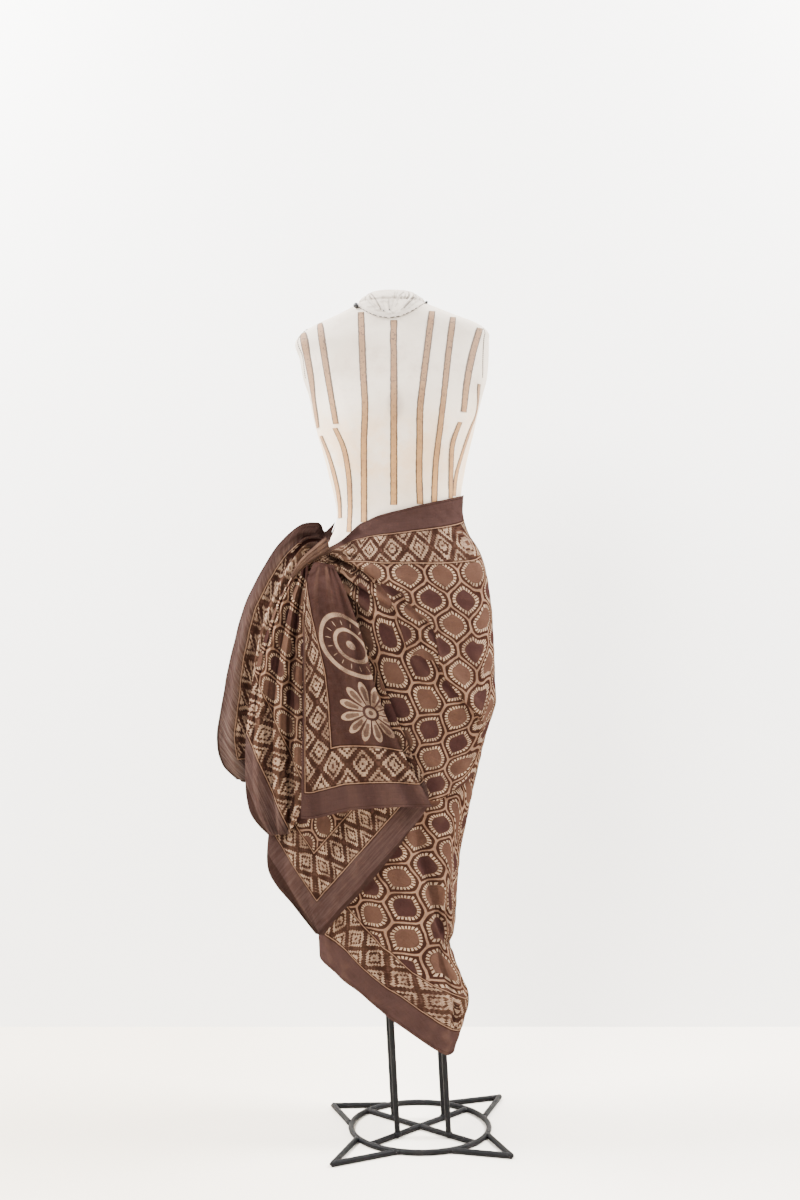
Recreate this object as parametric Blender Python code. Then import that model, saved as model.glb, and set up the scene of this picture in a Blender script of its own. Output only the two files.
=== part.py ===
"""A batik sarong tied round the hips of a limbless dress form that stands on an iron stand.

Sizes are in metres. The origin is where the two rods of the base cross, on the floor.
X runs to the viewer's right, the form faces -Y, and Z is up.
"""

import math

import bmesh
import bpy
import numpy as np
from mathutils import Vector

for old in list(bpy.data.objects):
    bpy.data.objects.remove(old, do_unlink=True)

# ---------------------------------------------------------------- named sizes
GAP = 0.0004            # left between pieces that touch
WALL = 0.0012           # thickness of the cloth wall
ROD = 0.010             # iron rod, across its flats
ROD_SIDES = 8
RING_RADIUS = 0.124     # centre line of the floor ring
# star points: where each tip stands, and how far along the ring its feet are from it
STAR_POINTS = [
    # name, radius, turn, foot
    ("right_back", 0.2157, 44.7, 23.0),
    ("left_back", 0.1921, 146.5, 27.0),
    ("left_front", 0.2284, 229.3, 21.0),
    ("right_front", 0.2060, 318.0, 22.3),
]
CROSS_ARMS = (45.0, 140.0)
LEG_FEET = [
    # name, x, y
    ("front_left", -0.0405, -0.0440),
    ("front_right", 0.0500, -0.0440),
    ("back_left", -0.0475, 0.0440),
    ("back_right", 0.0440, 0.0440),
]
LEG_LEAN = -0.040       # how far the tops of the legs stand to the left
FORM_BOTTOM = 0.742
NECK_SEAM = 1.4842
TURN_SCALE = 0.0026     # metres of cloth to a degree round the hips
CLEAR = 0.0022          # least distance of the middle of the cloth from the form
SOFTNESS = 0.0025       # how softly a stretch comes off what it would touch
UNDERLAP_STEP = 0.0055  # how far the under end of the wrap lies inside the over end


def columns(names, rows):
    """Rows of numbers as one array for each named column."""
    table = np.array(rows, float)
    return {name: table[:, i] for i, name in enumerate(names.split())}


def smooth(table, key, name, at):
    """The named column read at `at` along the key column, through a cubic that keeps its rows."""
    x, y = table[key], table[name]
    if x[0] > x[-1]:
        x, y = x[::-1], y[::-1]
    at = np.clip(np.asarray(at, float), x[0], x[-1])
    step = np.diff(x)
    slope = np.diff(y) / step
    tangent = np.empty_like(y)
    tangent[1:-1] = (slope[:-1] * step[1:] + slope[1:] * step[:-1]) / (step[:-1] + step[1:])
    tangent[0], tangent[-1] = slope[0], slope[-1]
    i = np.clip(np.searchsorted(x, at, side="right") - 1, 0, len(step) - 1)
    t = (at - x[i]) / step[i]
    return (
        y[i] * (1 + 2 * t) * (1 - t) ** 2
        + tangent[i] * step[i] * t * (1 - t) ** 2
        + y[i + 1] * t * t * (3 - 2 * t)
        + tangent[i + 1] * step[i] * t * t * (t - 1)
    )


# ------------------------------------------------------------- the dress form
# One row for each section: its height, the middle and half of its width,
# and how far it reaches to the front and to the back.
FORM = columns(
    "z middle half front back",
    [
        (1.4838, -0.0504, 0.0600, 0.0510, 0.0560),
        (1.4650, -0.0440, 0.1020, 0.0600, 0.0640),
        (1.4460, -0.0400, 0.1470, 0.0660, 0.0680),
        (1.4320, -0.0440, 0.1670, 0.0710, 0.0720),
        (1.4180, -0.0495, 0.1732, 0.0770, 0.0770),
        (1.3840, -0.0464, 0.1697, 0.0900, 0.0860),
        (1.3516, -0.0450, 0.1656, 0.1020, 0.0920),
        (1.3156, -0.0438, 0.1555, 0.1150, 0.0960),
        (1.2796, -0.0450, 0.1476, 0.1200, 0.0980),
        (1.2472, -0.0441, 0.1395, 0.1170, 0.0970),
        (1.2112, -0.0432, 0.1296, 0.1080, 0.0940),
        (1.1752, -0.0423, 0.1215, 0.0980, 0.0900),
        (1.1392, -0.0405, 0.1143, 0.0900, 0.0870),
        (1.1050, -0.0387, 0.1107, 0.0870, 0.0860),
        (1.0750, -0.0385, 0.1165, 0.0890, 0.0890),
        (1.0420, -0.0385, 0.1350, 0.0950, 0.0950),
        (1.0060, -0.0385, 0.1485, 0.1030, 0.1050),
        (0.9520, -0.0385, 0.1565, 0.1100, 0.1150),
        (0.8800, -0.0385, 0.1620, 0.1130, 0.1200),
        (0.8080, -0.0385, 0.1645, 0.1120, 0.1190),
        (0.7650, -0.0385, 0.1645, 0.1100, 0.1150),
        (0.7490, -0.0385, 0.1610, 0.1070, 0.1120),
        (FORM_BOTTOM, -0.0385, 0.1550, 0.1010, 0.1060),
    ],
)
FORM_SQUARE = 2.15      # how square the sections are; 2 is an ellipse

# ---------------------------------------------------------------- the sarong
# The wrap's own sections, hanging below the form.
WRAP = columns(
    "z left right front back",
    [
        (1.1500, -0.1590, 0.0800, 0.0950, 0.0930),
        (1.1050, -0.1545, 0.0775, 0.0925, 0.0915),
        (1.0750, -0.1620, 0.0860, 0.0960, 0.0955),
        (1.0420, -0.1835, 0.1060, 0.1040, 0.1040),
        (1.0060, -0.1970, 0.1185, 0.1120, 0.1140),
        (0.9520, -0.2045, 0.1270, 0.1190, 0.1240),
        (0.8800, -0.2100, 0.1325, 0.1220, 0.1290),
        (0.8080, -0.2125, 0.1350, 0.1210, 0.1280),
        (0.7650, -0.2130, 0.1360, 0.1190, 0.1240),
        (0.7300, -0.2110, 0.1250, 0.1180, 0.1200),
        (0.6640, -0.2060, 0.1080, 0.1160, 0.1170),
        (0.5920, -0.2010, 0.0918, 0.1140, 0.1150),
        (0.5200, -0.1960, 0.0760, 0.1110, 0.1130),
        (0.4480, -0.1905, 0.0684, 0.1080, 0.1110),
        (0.3760, -0.1850, 0.0640, 0.1050, 0.1080),
        (0.3360, -0.1820, 0.0590, 0.1030, 0.1070),
        (0.3000, -0.1790, 0.0650, 0.1020, 0.1060),
        (0.2500, -0.1750, 0.0810, 0.1010, 0.1040),
        (0.2000, -0.1700, 0.0750, 0.1000, 0.1020),
        (0.1300, -0.1640, 0.0580, 0.0980, 0.1000),
    ],
)
# Its upper and lower edge, by the turn round the hips: 0 is the front, 90 the
# right side, 180 the back, 270 the left side, and 335 the end under the front.
WRAP_EDGES = columns(
    "turn top hem",
    [
        (-82, 1.0180, 0.3180),
        (-65, 1.0320, 0.3080),
        (-52, 1.0380, 0.3010),
        (-44, 1.0520, 0.2930),
        (-38, 1.0740, 0.2870),
        (-24, 1.0920, 0.2690),
        (0, 1.1080, 0.2220),
        (18, 1.1180, 0.1930),
        (40, 1.1270, 0.1650),
        (67, 1.1360, 0.1460),
        (90, 1.1410, 0.1520),
        (135, 1.1380, 0.1950),
        (180, 1.1300, 0.2450),
        (225, 1.1180, 0.2900),
        (260, 1.0920, 0.3080),
        (280, 1.0620, 0.3060),
        (300, 1.0200, 0.3020),
        (335, 0.9800, 0.2900),
    ],
)
# The largest folds of the wrap, as ridges (out) and troughs (in): where each
# starts and ends, how far out it goes, and how wide it is.
WRAP_FOLDS = columns(
    "turn_a z_a turn_b z_b out width",
    [
        (-62, 1.030, -20, 0.900, 0.0030, 0.008),
        (-62, 1.020, -30, 0.820, -0.0040, 0.009),
        (-64, 0.990, -38, 0.760, 0.0050, 0.010),
        (-30, 0.760, 5, 0.600, -0.0050, 0.012),
        (-12, 0.700, 30, 0.420, 0.0060, 0.014),
        (20, 0.560, 62, 0.330, -0.0120, 0.013),
        (58, 0.360, 80, 0.180, 0.0080, 0.015),
        (-55, 0.600, -20, 0.330, 0.0060, 0.015),
        (-35, 0.560, 0, 0.280, -0.0060, 0.014),
        (110, 0.740, 128, 0.260, 0.0090, 0.016),
        (148, 0.760, 156, 0.280, -0.0080, 0.015),
        (182, 0.740, 186, 0.300, 0.0090, 0.016),
        (215, 0.780, 208, 0.340, -0.0070, 0.015),
        (250, 0.700, 236, 0.360, 0.0080, 0.015),
    ],
)
# The tie draws the wrap out at the left of the front.
TIE = {"turn": -62.0, "z": 1.035, "out": 0.030, "reach": 0.030}

# Each hanging stretch, from the knot down: its left edge, its right edge, and
# how far its middle swells to the front.
EDGE_NAMES = "lx ly lz rx ry rz swell"
TAIL_FRONT = columns(
    EDGE_NAMES,
    [
        (-0.184, -0.122, 1.018, -0.150, -0.122, 1.012, 0.004),
        (-0.198, -0.148, 0.969, -0.128, -0.146, 0.966, 0.006),
        (-0.200, -0.156, 0.884, -0.099, -0.152, 0.884, 0.006),
        (-0.200, -0.158, 0.783, -0.072, -0.150, 0.783, 0.006),
        (-0.202, -0.157, 0.682, -0.028, -0.144, 0.682, 0.006),
        (-0.204, -0.154, 0.582, 0.019, -0.138, 0.594, 0.008),
    ],
)
TAIL_CORNER = columns(
    EDGE_NAMES,
    [
        (-0.192, -0.098, 0.985, -0.152, -0.108, 0.985, 0.002),
        (-0.212, -0.080, 0.900, -0.105, -0.126, 0.900, 0.004),
        (-0.224, -0.070, 0.800, -0.062, -0.131, 0.800, 0.004),
        (-0.238, -0.070, 0.700, -0.020, -0.131, 0.700, 0.004),
        (-0.256, -0.074, 0.609, 0.013, -0.128, 0.612, 0.004),
        (-0.265, -0.084, 0.545, -0.027, -0.125, 0.545, 0.003),
        (-0.266, -0.089, 0.490, -0.068, -0.121, 0.490, 0.003),
        (-0.250, -0.092, 0.456, -0.108, -0.115, 0.444, 0.002),
        (-0.222, -0.095, 0.424, -0.142, -0.108, 0.407, 0.002),
        (-0.182, -0.099, 0.374, -0.168, -0.101, 0.372, 0.000),
    ],
)
TAIL_OUTER = columns(
    EDGE_NAMES,
    [
        (-0.1500, -0.066, 1.0885, -0.1582, -0.086, 1.0535, 0.000),
        (-0.1670, -0.074, 1.0720, -0.1665, -0.091, 1.0490, 0.002),
        (-0.1738, -0.076, 1.0835, -0.1700, -0.094, 1.0450, 0.006),
        (-0.1840, -0.072, 1.0880, -0.1760, -0.096, 1.0400, 0.008),
        (-0.212, -0.062, 1.084, -0.186, -0.098, 1.036, 0.010),
        (-0.246, -0.054, 1.056, -0.205, -0.099, 1.012, 0.010),
        (-0.278, -0.045, 1.010, -0.222, -0.097, 0.984, 0.010),
        (-0.312, -0.032, 0.944, -0.246, -0.088, 0.930, 0.008),
        (-0.338, -0.020, 0.856, -0.269, -0.070, 0.856, 0.006),
        (-0.353, -0.010, 0.782, -0.276, -0.050, 0.782, 0.006),
        (-0.365, -0.005, 0.706, -0.274, -0.040, 0.706, 0.006),
        (-0.356, -0.005, 0.658, -0.274, -0.034, 0.654, 0.005),
        (-0.330, -0.005, 0.630, -0.276, -0.030, 0.622, 0.004),
    ],
)
TAIL_INNER = columns(
    EDGE_NAMES,
    [
        (-0.216, -0.114, 1.016, -0.193, -0.124, 1.015, 0.001),
        (-0.224, -0.115, 0.990, -0.194, -0.128, 0.990, 0.001),
        (-0.245, -0.113, 0.952, -0.198, -0.131, 0.952, 0.003),
        (-0.268, -0.105, 0.892, -0.201, -0.127, 0.892, 0.005),
        (-0.286, -0.095, 0.834, -0.203, -0.122, 0.835, 0.006),
        (-0.299, -0.086, 0.769, -0.205, -0.118, 0.771, 0.006),
        (-0.306, -0.080, 0.690, -0.205, -0.116, 0.694, 0.006),
        (-0.306, -0.080, 0.630, -0.205, -0.116, 0.640, 0.006),
        (-0.303, -0.080, 0.603, -0.205, -0.116, 0.612, 0.005),
        (-0.296, -0.086, 0.580, -0.208, -0.117, 0.588, 0.004),
        (-0.282, -0.091, 0.561, -0.216, -0.114, 0.568, 0.003),
        (-0.263, -0.096, 0.544, -0.227, -0.110, 0.549, 0.001),
    ],
)
KNOT_BAND = columns(
    EDGE_NAMES,
    [
        (-0.1640, -0.1120, 1.0620, -0.1580, -0.1080, 1.0370, 0.003),
        (-0.1800, -0.1240, 1.0470, -0.1725, -0.1220, 1.0255, 0.005),
        (-0.2010, -0.1340, 1.0270, -0.1920, -0.1330, 1.0130, 0.004),
        (-0.2130, -0.1340, 1.0110, -0.2060, -0.1330, 1.0010, 0.003),
        (-0.2235, -0.1300, 0.9935, -0.2190, -0.1300, 0.9865, 0.001),
    ],
)
# Pleats of the hanging stretches: where across the width each one lies at the
# top and at the foot, how far out it goes at the top and the foot, and its width.
PLEAT_NAMES = "top foot out_top out_foot width"
PLEATS_FRONT = columns(
    PLEAT_NAMES,
    [(0.62, 0.70, 0.004, 0.006, 0.07), (0.86, 0.90, -0.003, -0.004, 0.06)],
)
PLEATS_CORNER = columns(
    PLEAT_NAMES,
    [(0.20, 0.30, 0.004, 0.007, 0.08), (0.55, 0.55, -0.003, -0.004, 0.10)],
)
PLEATS_OUTER = columns(
    PLEAT_NAMES,
    [(0.35, 0.34, 0.004, 0.010, 0.09), (0.62, 0.62, -0.004, -0.008, 0.08), (0.85, 0.84, 0.004, 0.008, 0.07)],
)
PLEATS_INNER = columns(
    PLEAT_NAMES,
    [
        (0.20, 0.22, 0.001, 0.009, 0.08),
        (0.42, 0.42, -0.001, -0.010, 0.07),
        (0.62, 0.60, 0.001, 0.009, 0.07),
        (0.84, 0.82, -0.001, -0.010, 0.06),
    ],
)
PLEATS_KNOT = columns(PLEAT_NAMES, [(0.45, 0.45, 0.0015, 0.0005, 0.12)])


# ------------------------------------------------------------------ materials
def material(name, colour, roughness, metallic=0.0):
    made = bpy.data.materials.new(name)
    made.use_nodes = True
    shader = made.node_tree.nodes["Principled BSDF"]
    shader.inputs["Base Color"].default_value = (*colour, 1.0)
    shader.inputs["Roughness"].default_value = roughness
    shader.inputs["Metallic"].default_value = metallic
    return made


CANVAS = material("canvas", (0.74, 0.69, 0.62), 0.90)
IRON = material("painted_iron", (0.035, 0.033, 0.035), 0.55, 0.6)
BATIK = material("batik_silk", (0.16, 0.085, 0.06), 0.60)
BATIK_PALE = material("batik_silk_reverse", (0.24, 0.15, 0.11), 0.65)
BATIK_DARK = material("batik_silk_border", (0.085, 0.045, 0.036), 0.60)


def solid(name, points, faces, look):
    """One closed body, its faces turned out."""
    mesh = bpy.data.meshes.new(name)
    mesh.from_pydata([tuple(map(float, p)) for p in points], [], [tuple(map(int, f)) for f in faces])
    work = bmesh.new()
    work.from_mesh(mesh)
    bmesh.ops.recalc_face_normals(work, faces=work.faces)
    work.to_mesh(mesh)
    work.free()
    made = bpy.data.objects.new(name, mesh)
    made.data.materials.append(look)
    bpy.context.scene.collection.objects.link(made)
    return made


def lofted(rings):
    """Faces and points of rings of equal length joined in order and closed at both ends."""
    count = len(rings[0])
    points = [p for ring in rings for p in ring]
    faces = []
    for i in range(len(rings) - 1):
        for j in range(count):
            k = (j + 1) % count
            faces.append((i * count + j, i * count + k, (i + 1) * count + k, (i + 1) * count + j))
    faces.append(tuple(range(count)))
    faces.append(tuple((len(rings) - 1) * count + j for j in range(count)))
    return points, faces


# ------------------------------------------------------------- the iron stand
def rod_corners():
    """Corners of the rod's eight-sided section, as (across, up), with a flat side down."""
    reach = ROD / 2 / math.cos(math.pi / ROD_SIDES)
    turns = [math.pi / ROD_SIDES + 2 * math.pi * i / ROD_SIDES for i in range(ROD_SIDES)]
    return [(reach * math.cos(a), ROD / 2 + reach * math.sin(a)) for a in turns]


def floor_rod(name, start, end, look=IRON):
    """A straight rod lying on the floor from start to end, square at its ends."""
    start, end = Vector((*start, 0)), Vector((*end, 0))
    along = (end - start).normalized()
    side = Vector((-along.y, along.x, 0))
    rings = [[at + side * a + Vector((0, 0, u)) for a, u in rod_corners()] for at in (start, end)]
    return solid(name, *lofted(rings), look)


def joined(first, others):
    """The first solid with the others united into it."""
    for i, other in enumerate(others):
        change = first.modifiers.new(f"unite_{i}", "BOOLEAN")
        change.operation, change.solver, change.object = "UNION", "EXACT", other
        other.hide_render = True
        other.display_type = "WIRE"
    return first


def on_circle(radius, degrees):
    return radius * math.cos(math.radians(degrees)), radius * math.sin(math.radians(degrees))


ARM = RING_RADIUS - ROD / 2 - GAP
joined(
    floor_rod("base_cross", on_circle(-ARM, CROSS_ARMS[0]), on_circle(ARM, CROSS_ARMS[0])),
    [floor_rod("cut_cross_arm", on_circle(-ARM, CROSS_ARMS[1]), on_circle(ARM, CROSS_ARMS[1]))],
)

steps = 64
points, faces = [], []
for i in range(steps):
    c, s = math.cos(2 * math.pi * i / steps), math.sin(2 * math.pi * i / steps)
    points += [((RING_RADIUS + a) * c, (RING_RADIUS + a) * s, u) for a, u in rod_corners()]
for i in range(steps):
    for j in range(ROD_SIDES):
        k, n = (j + 1) % ROD_SIDES, (i + 1) % steps
        faces.append((i * ROD_SIDES + j, i * ROD_SIDES + k, n * ROD_SIDES + k, n * ROD_SIDES + j))
solid("base_ring", points, faces, IRON)

# The space that the ring needs, filled in to the middle: it ends the star points' feet.
profile = [(-0.002, 0.2071), (0.0, 0.2071), (0.29289, 0.5), (0.70711, 0.5), (1.0, 0.2071), (1.2, 0.2071)]
rings = []
for up, wide in profile:
    reach = RING_RADIUS + wide * ROD + GAP
    rings.append([(*on_circle(reach, 360 * i / 128), up * ROD if up > 0 else up * 1.0) for i in range(128)])
ring_space = solid("cut_ring_space", *lofted(rings), IRON)
ring_space.hide_render = True
ring_space.display_type = "WIRE"

# Each star point is two rods from the ring's outside to a mitred tip.
for name, radius, at, foot_turn in STAR_POINTS:
    tip = Vector((*on_circle(radius, at), 0))
    feet = [Vector((*on_circle(RING_RADIUS + ROD / 2, at + turn), 0)) for turn in (-foot_turn, foot_turn)]
    out = ((tip - feet[0]).normalized() + (tip - feet[1]).normalized()).normalized()
    rings = []
    for foot, hand in zip(feet, (1, -1)):
        along = (tip - foot).normalized()
        side = Vector((-along.y, along.x, 0)) * hand
        start = foot - along * ROD * 1.6
        rings.append([start + side * a + Vector((0, 0, u)) for a, u in rod_corners()])
    # the tip's ring lies in the plane that halves the angle of the two rods
    along = (tip - feet[0]).normalized()
    side = Vector((-along.y, along.x, 0))
    normal = Vector((-out.y, out.x, 0))
    mitre = []
    for a, u in rod_corners():
        base = tip + side * a
        mitre.append(base + along * ((tip - base).dot(normal) / along.dot(normal)) + Vector((0, 0, u)))
    star = solid(f"star_{name}", *lofted([rings[0], mitre, rings[1]]), IRON)
    cut = star.modifiers.new("end_at_ring", "BOOLEAN")
    cut.operation, cut.solver, cut.object = "DIFFERENCE", "EXACT", ring_space

# Four upright rods stand on the cross and lean a little to the left.
for name, foot_x, foot_y in LEG_FEET:
    low, high = ROD + GAP, FORM_BOTTOM - GAP
    turns = [2 * math.pi * (i + 0.5) / 12 for i in range(12)]
    rings = [
        [(foot_x + lean + ROD / 2 * math.cos(t), foot_y + ROD / 2 * math.sin(t), z) for t in turns]
        for lean, z in ((0.0, low), (LEG_LEAN, high))
    ]
    solid(f"leg_{name}", *lofted(rings), IRON)


# ------------------------------------------------------------- the dress form
def form_ring(z, count, inset=0.0):
    """One level section of the form."""
    middle, half, front, back = (float(smooth(FORM, "z", c, z)) for c in ("middle", "half", "front", "back"))
    ring = []
    for i in range(count):
        t = 2 * math.pi * i / count
        s, c = math.sin(t), math.cos(t)
        s = math.copysign(abs(s) ** (2 / FORM_SQUARE), s)
        c = math.copysign(abs(c) ** (2 / FORM_SQUARE), c)
        depth = front if c > 0 else back
        ring.append((middle + (half - inset) * s, -(depth - inset) * c, z))
    return ring


levels = sorted(set(np.round(np.concatenate([FORM["z"], np.linspace(FORM_BOTTOM, 1.40, 26)]), 4)))
levels = [z for i, z in enumerate(levels) if i == 0 or z - levels[i - 1] > 0.005 or z in FORM["z"]]
solid("form_torso", *lofted([form_ring(z, 56) for z in levels]), CANVAS)

CAP = columns(
    "z half_x half_y back_shift",
    [
        (NECK_SEAM, 0.0585, 0.0520, 0.0030),
        (1.4900, 0.0550, 0.0485, 0.0030),
        (1.4945, 0.0510, 0.0455, 0.0030),
        (1.4980, 0.0465, 0.0420, 0.0030),
        (1.5012, 0.0410, 0.0380, 0.0030),
        (1.5040, 0.0350, 0.0325, 0.0030),
    ],
)
rings = []
for z, hx, hy, shift in zip(CAP["z"], CAP["half_x"], CAP["half_y"], CAP["back_shift"]):
    rings.append([(-0.0504 + hx * math.sin(t), shift - hy * math.cos(t), z) for t in [2 * math.pi * i / 40 for i in range(40)]])
solid("neck_cap", *lofted(rings), CANVAS)


# ------------------------------------------------------------------ the cloth
def grid_normals(grid):
    """Unit normals of a grid of points (rows, columns, 3)."""
    down = np.gradient(grid, axis=0)
    along = np.gradient(grid, axis=1)
    normal = np.cross(down, along)
    return normal / np.maximum(np.linalg.norm(normal, axis=2, keepdims=True), 1e-12)


def cloth(name, grid, look):
    """A closed wall of cloth on both sides of a grid of points."""
    rows, cols = grid.shape[:2]
    normal = grid_normals(grid) * (WALL / 2)
    points = np.concatenate([(grid + normal).reshape(-1, 3), (grid - normal).reshape(-1, 3)])
    half = rows * cols
    faces = []
    for i in range(rows - 1):
        for j in range(cols - 1):
            a = i * cols + j
            b, c, d = a + 1, a + cols + 1, a + cols
            faces += [(a, b, c), (a, c, d), (half + a, half + c, half + b), (half + a, half + d, half + c)]
    rim = (
        [j for j in range(cols)]
        + [i * cols + cols - 1 for i in range(1, rows)]
        + [(rows - 1) * cols + j for j in range(cols - 2, -1, -1)]
        + [i * cols for i in range(rows - 2, 0, -1)]
    )
    for a, b in zip(rim, rim[1:] + rim[:1]):
        faces += [(a, b, half + b), (a, half + b, half + a)]
    return solid(name, points, faces, look)


def wrap_point(turn, z):
    """Points of the wrap at turns (degrees) and heights, folds included."""
    left, right = smooth(WRAP, "z", "left", z), smooth(WRAP, "z", "right", z)
    front, back = smooth(WRAP, "z", "front", z), smooth(WRAP, "z", "back", z)
    angle = np.radians(turn)
    s, c = np.sin(angle), np.cos(angle)
    ramp = np.clip((turn - 225.0) / 60.0, 0, 1)
    out = -UNDERLAP_STEP * ramp * ramp * (3 - 2 * ramp)
    for ta, za, tb, zb, push, width in zip(*(WRAP_FOLDS[k] for k in ("turn_a", "z_a", "turn_b", "z_b", "out", "width"))):
        ax, az, bx, bz = ta * TURN_SCALE, za, tb * TURN_SCALE, zb
        px, pz = turn * TURN_SCALE, z
        length = math.hypot(bx - ax, bz - az)
        ux, uz = (bx - ax) / length, (bz - az) / length
        t = ((px - ax) * ux + (pz - az) * uz) / length
        off = (px - ax) * uz - (pz - az) * ux
        fade = np.clip(t, 0, 1)
        fade = np.where((t > -0.2) & (t < 1.2), np.sin(np.pi * (fade * 0.86 + 0.07)) ** 0.7, 0.0)
        fade = fade * np.exp(-np.minimum(t, 0) ** 2 * 200) * np.exp(-np.maximum(t - 1, 0) ** 2 * 200)
        out = out + push * fade * np.exp(-0.5 * (off / width) ** 2)
    near = ((turn - TIE["turn"]) * TURN_SCALE) ** 2 + (z - TIE["z"]) ** 2
    out = out + TIE["out"] * np.exp(-0.5 * near / TIE["reach"] ** 2)
    half = (right - left) / 2 + out
    depth = np.where(c > 0, front, back) + out
    # no trough goes into the form
    over_form = z > FORM_BOTTOM - 0.012
    form_depth = np.where(c > 0, smooth(FORM, "z", "front", z), smooth(FORM, "z", "back", z))
    half = np.where(over_form, np.maximum(half, smooth(FORM, "z", "half", z) + CLEAR), half)
    depth = np.where(over_form, np.maximum(depth, form_depth + CLEAR), depth)
    x = (left + right) / 2 + half * np.sign(s) * np.abs(s) ** (2 / FORM_SQUARE)
    y = -depth * np.sign(c) * np.abs(c) ** (2 / FORM_SQUARE)
    return np.stack([x, y, z + 0 * x], axis=-1)


def wrap_grid(rows, cols):
    turn = np.linspace(WRAP_EDGES["turn"][0], WRAP_EDGES["turn"][-1], cols)
    top = smooth(WRAP_EDGES, "turn", "top", turn)
    hem = smooth(WRAP_EDGES, "turn", "hem", turn)
    v = np.linspace(0, 1, rows)[:, None]
    z = top[None] * (1 - v) + hem[None] * v
    return wrap_point(np.broadcast_to(turn, z.shape), z)


def tail_grid(table, pleats, rows, cols):
    """A hanging stretch between its two edges, swelling and pleated."""
    table = dict(table, row=np.arange(len(table["lx"]), dtype=float))
    at = np.linspace(0, len(table["lx"]) - 1, rows)
    left = np.stack([smooth(table, "row", k, at) for k in ("lx", "ly", "lz")], axis=-1)
    right = np.stack([smooth(table, "row", k, at) for k in ("rx", "ry", "rz")], axis=-1)
    swell = smooth(table, "row", "swell", at)
    u = np.linspace(0, 1, cols)
    v = np.linspace(0, 1, rows)
    grid = left[:, None] * (1 - u)[None, :, None] + right[:, None] * u[None, :, None]
    across = right - left
    out = np.stack([across[:, 1], -across[:, 0], 0 * across[:, 0]], axis=-1)
    out /= np.linalg.norm(out, axis=1, keepdims=True)
    push = swell[:, None] * (4 * u * (1 - u))[None]
    for top, foot, a, b, width in zip(*(pleats[k] for k in PLEAT_NAMES.split())):
        middle = top + (foot - top) * v
        deep = (a + (b - a) * v) * np.minimum(1, np.linalg.norm(across, axis=1) / 0.05)
        push = push + deep[:, None] * np.exp(-0.5 * ((u[None] - middle[:, None]) / width) ** 2)
    return grid + out[:, None] * push[..., None]


def before_wrap(grid, space):
    """The grid with what lies nearer the wrap than `space` brought in front of it."""
    x, y, z = grid[..., 0], grid[..., 1], grid[..., 2]
    left, right = smooth(WRAP, "z", "left", z), smooth(WRAP, "z", "right", z)
    across = np.clip((x - (left + right) / 2) / ((right - left) / 2), -1, 1)
    turn = np.degrees(np.arcsin(np.sign(across) * np.abs(across) ** (FORM_SQUARE / 2)))
    limit = wrap_point(turn, z)[..., 1] - space
    over = (y - limit) / SOFTNESS
    y = y - SOFTNESS * np.where(over > 20, over, np.log1p(np.exp(np.minimum(over, 20))))
    return np.stack([x, y, z], axis=-1)


cloth("sarong_wrap", wrap_grid(20, 74), BATIK)
cloth("sarong_tail_corner", before_wrap(tail_grid(TAIL_CORNER, PLEATS_CORNER, 18, 12), 0.006), BATIK_PALE)
cloth("sarong_tail_front", before_wrap(tail_grid(TAIL_FRONT, PLEATS_FRONT, 14, 13), 0.022), BATIK_DARK)
cloth("sarong_tail_outer", before_wrap(tail_grid(TAIL_OUTER, PLEATS_OUTER, 18, 12), 0.006), BATIK_DARK)
cloth("sarong_tail_inner", before_wrap(tail_grid(TAIL_INNER, PLEATS_INNER, 16, 15), 0.012), BATIK)
cloth("sarong_knot_band", before_wrap(tail_grid(KNOT_BAND, PLEATS_KNOT, 10, 8), 0.020), BATIK_PALE)
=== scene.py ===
"""Looks for the batik sarong on its dress form and stand.

Sizes are in metres, in the row frame: the origin is under the crossing of the base's rods,
X runs to the viewer's right, the form faces -Y, and Z is up.
"""

import math

import bpy
import numpy as np
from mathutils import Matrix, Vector


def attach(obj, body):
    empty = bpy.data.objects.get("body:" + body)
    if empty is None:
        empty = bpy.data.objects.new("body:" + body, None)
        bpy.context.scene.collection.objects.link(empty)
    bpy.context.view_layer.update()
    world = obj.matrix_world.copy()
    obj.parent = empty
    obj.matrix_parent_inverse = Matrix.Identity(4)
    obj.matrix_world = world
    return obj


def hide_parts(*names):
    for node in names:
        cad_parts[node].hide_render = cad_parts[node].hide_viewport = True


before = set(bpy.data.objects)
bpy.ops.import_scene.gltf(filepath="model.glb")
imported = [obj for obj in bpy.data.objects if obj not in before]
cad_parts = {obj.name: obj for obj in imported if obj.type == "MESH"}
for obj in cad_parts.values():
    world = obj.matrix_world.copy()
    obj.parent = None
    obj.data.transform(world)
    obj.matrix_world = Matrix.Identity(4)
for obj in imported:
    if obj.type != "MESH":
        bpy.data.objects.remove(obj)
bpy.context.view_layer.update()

# ---------------------------------------------------------------- named sizes
ROD = 0.010
RING_RADIUS = 0.124
# star points: where each tip stands, and how far along the ring its feet are from it
STAR_POINTS = [
    # name, radius, turn, foot
    ("right_back", 0.2157, 44.7, 23.0),
    ("left_back", 0.1921, 146.5, 27.0),
    ("left_front", 0.2284, 229.3, 21.0),
    ("right_front", 0.2060, 318.0, 22.3),
]
CROSS_ARMS = (45.0, 140.0)
LEG_FEET = [
    # name, x, y
    ("front_left", -0.0405, -0.0440),
    ("front_right", 0.0500, -0.0440),
    ("back_left", -0.0475, 0.0440),
    ("back_right", 0.0440, 0.0440),
]
LEG_LEAN = -0.040
FORM_BOTTOM = 0.742
FORM_SQUARE = 2.15
TURN_SCALE = 0.0026
CLEAR = 0.0022
SOFTNESS = 0.0025
UNDERLAP_STEP = 0.0055

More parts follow.
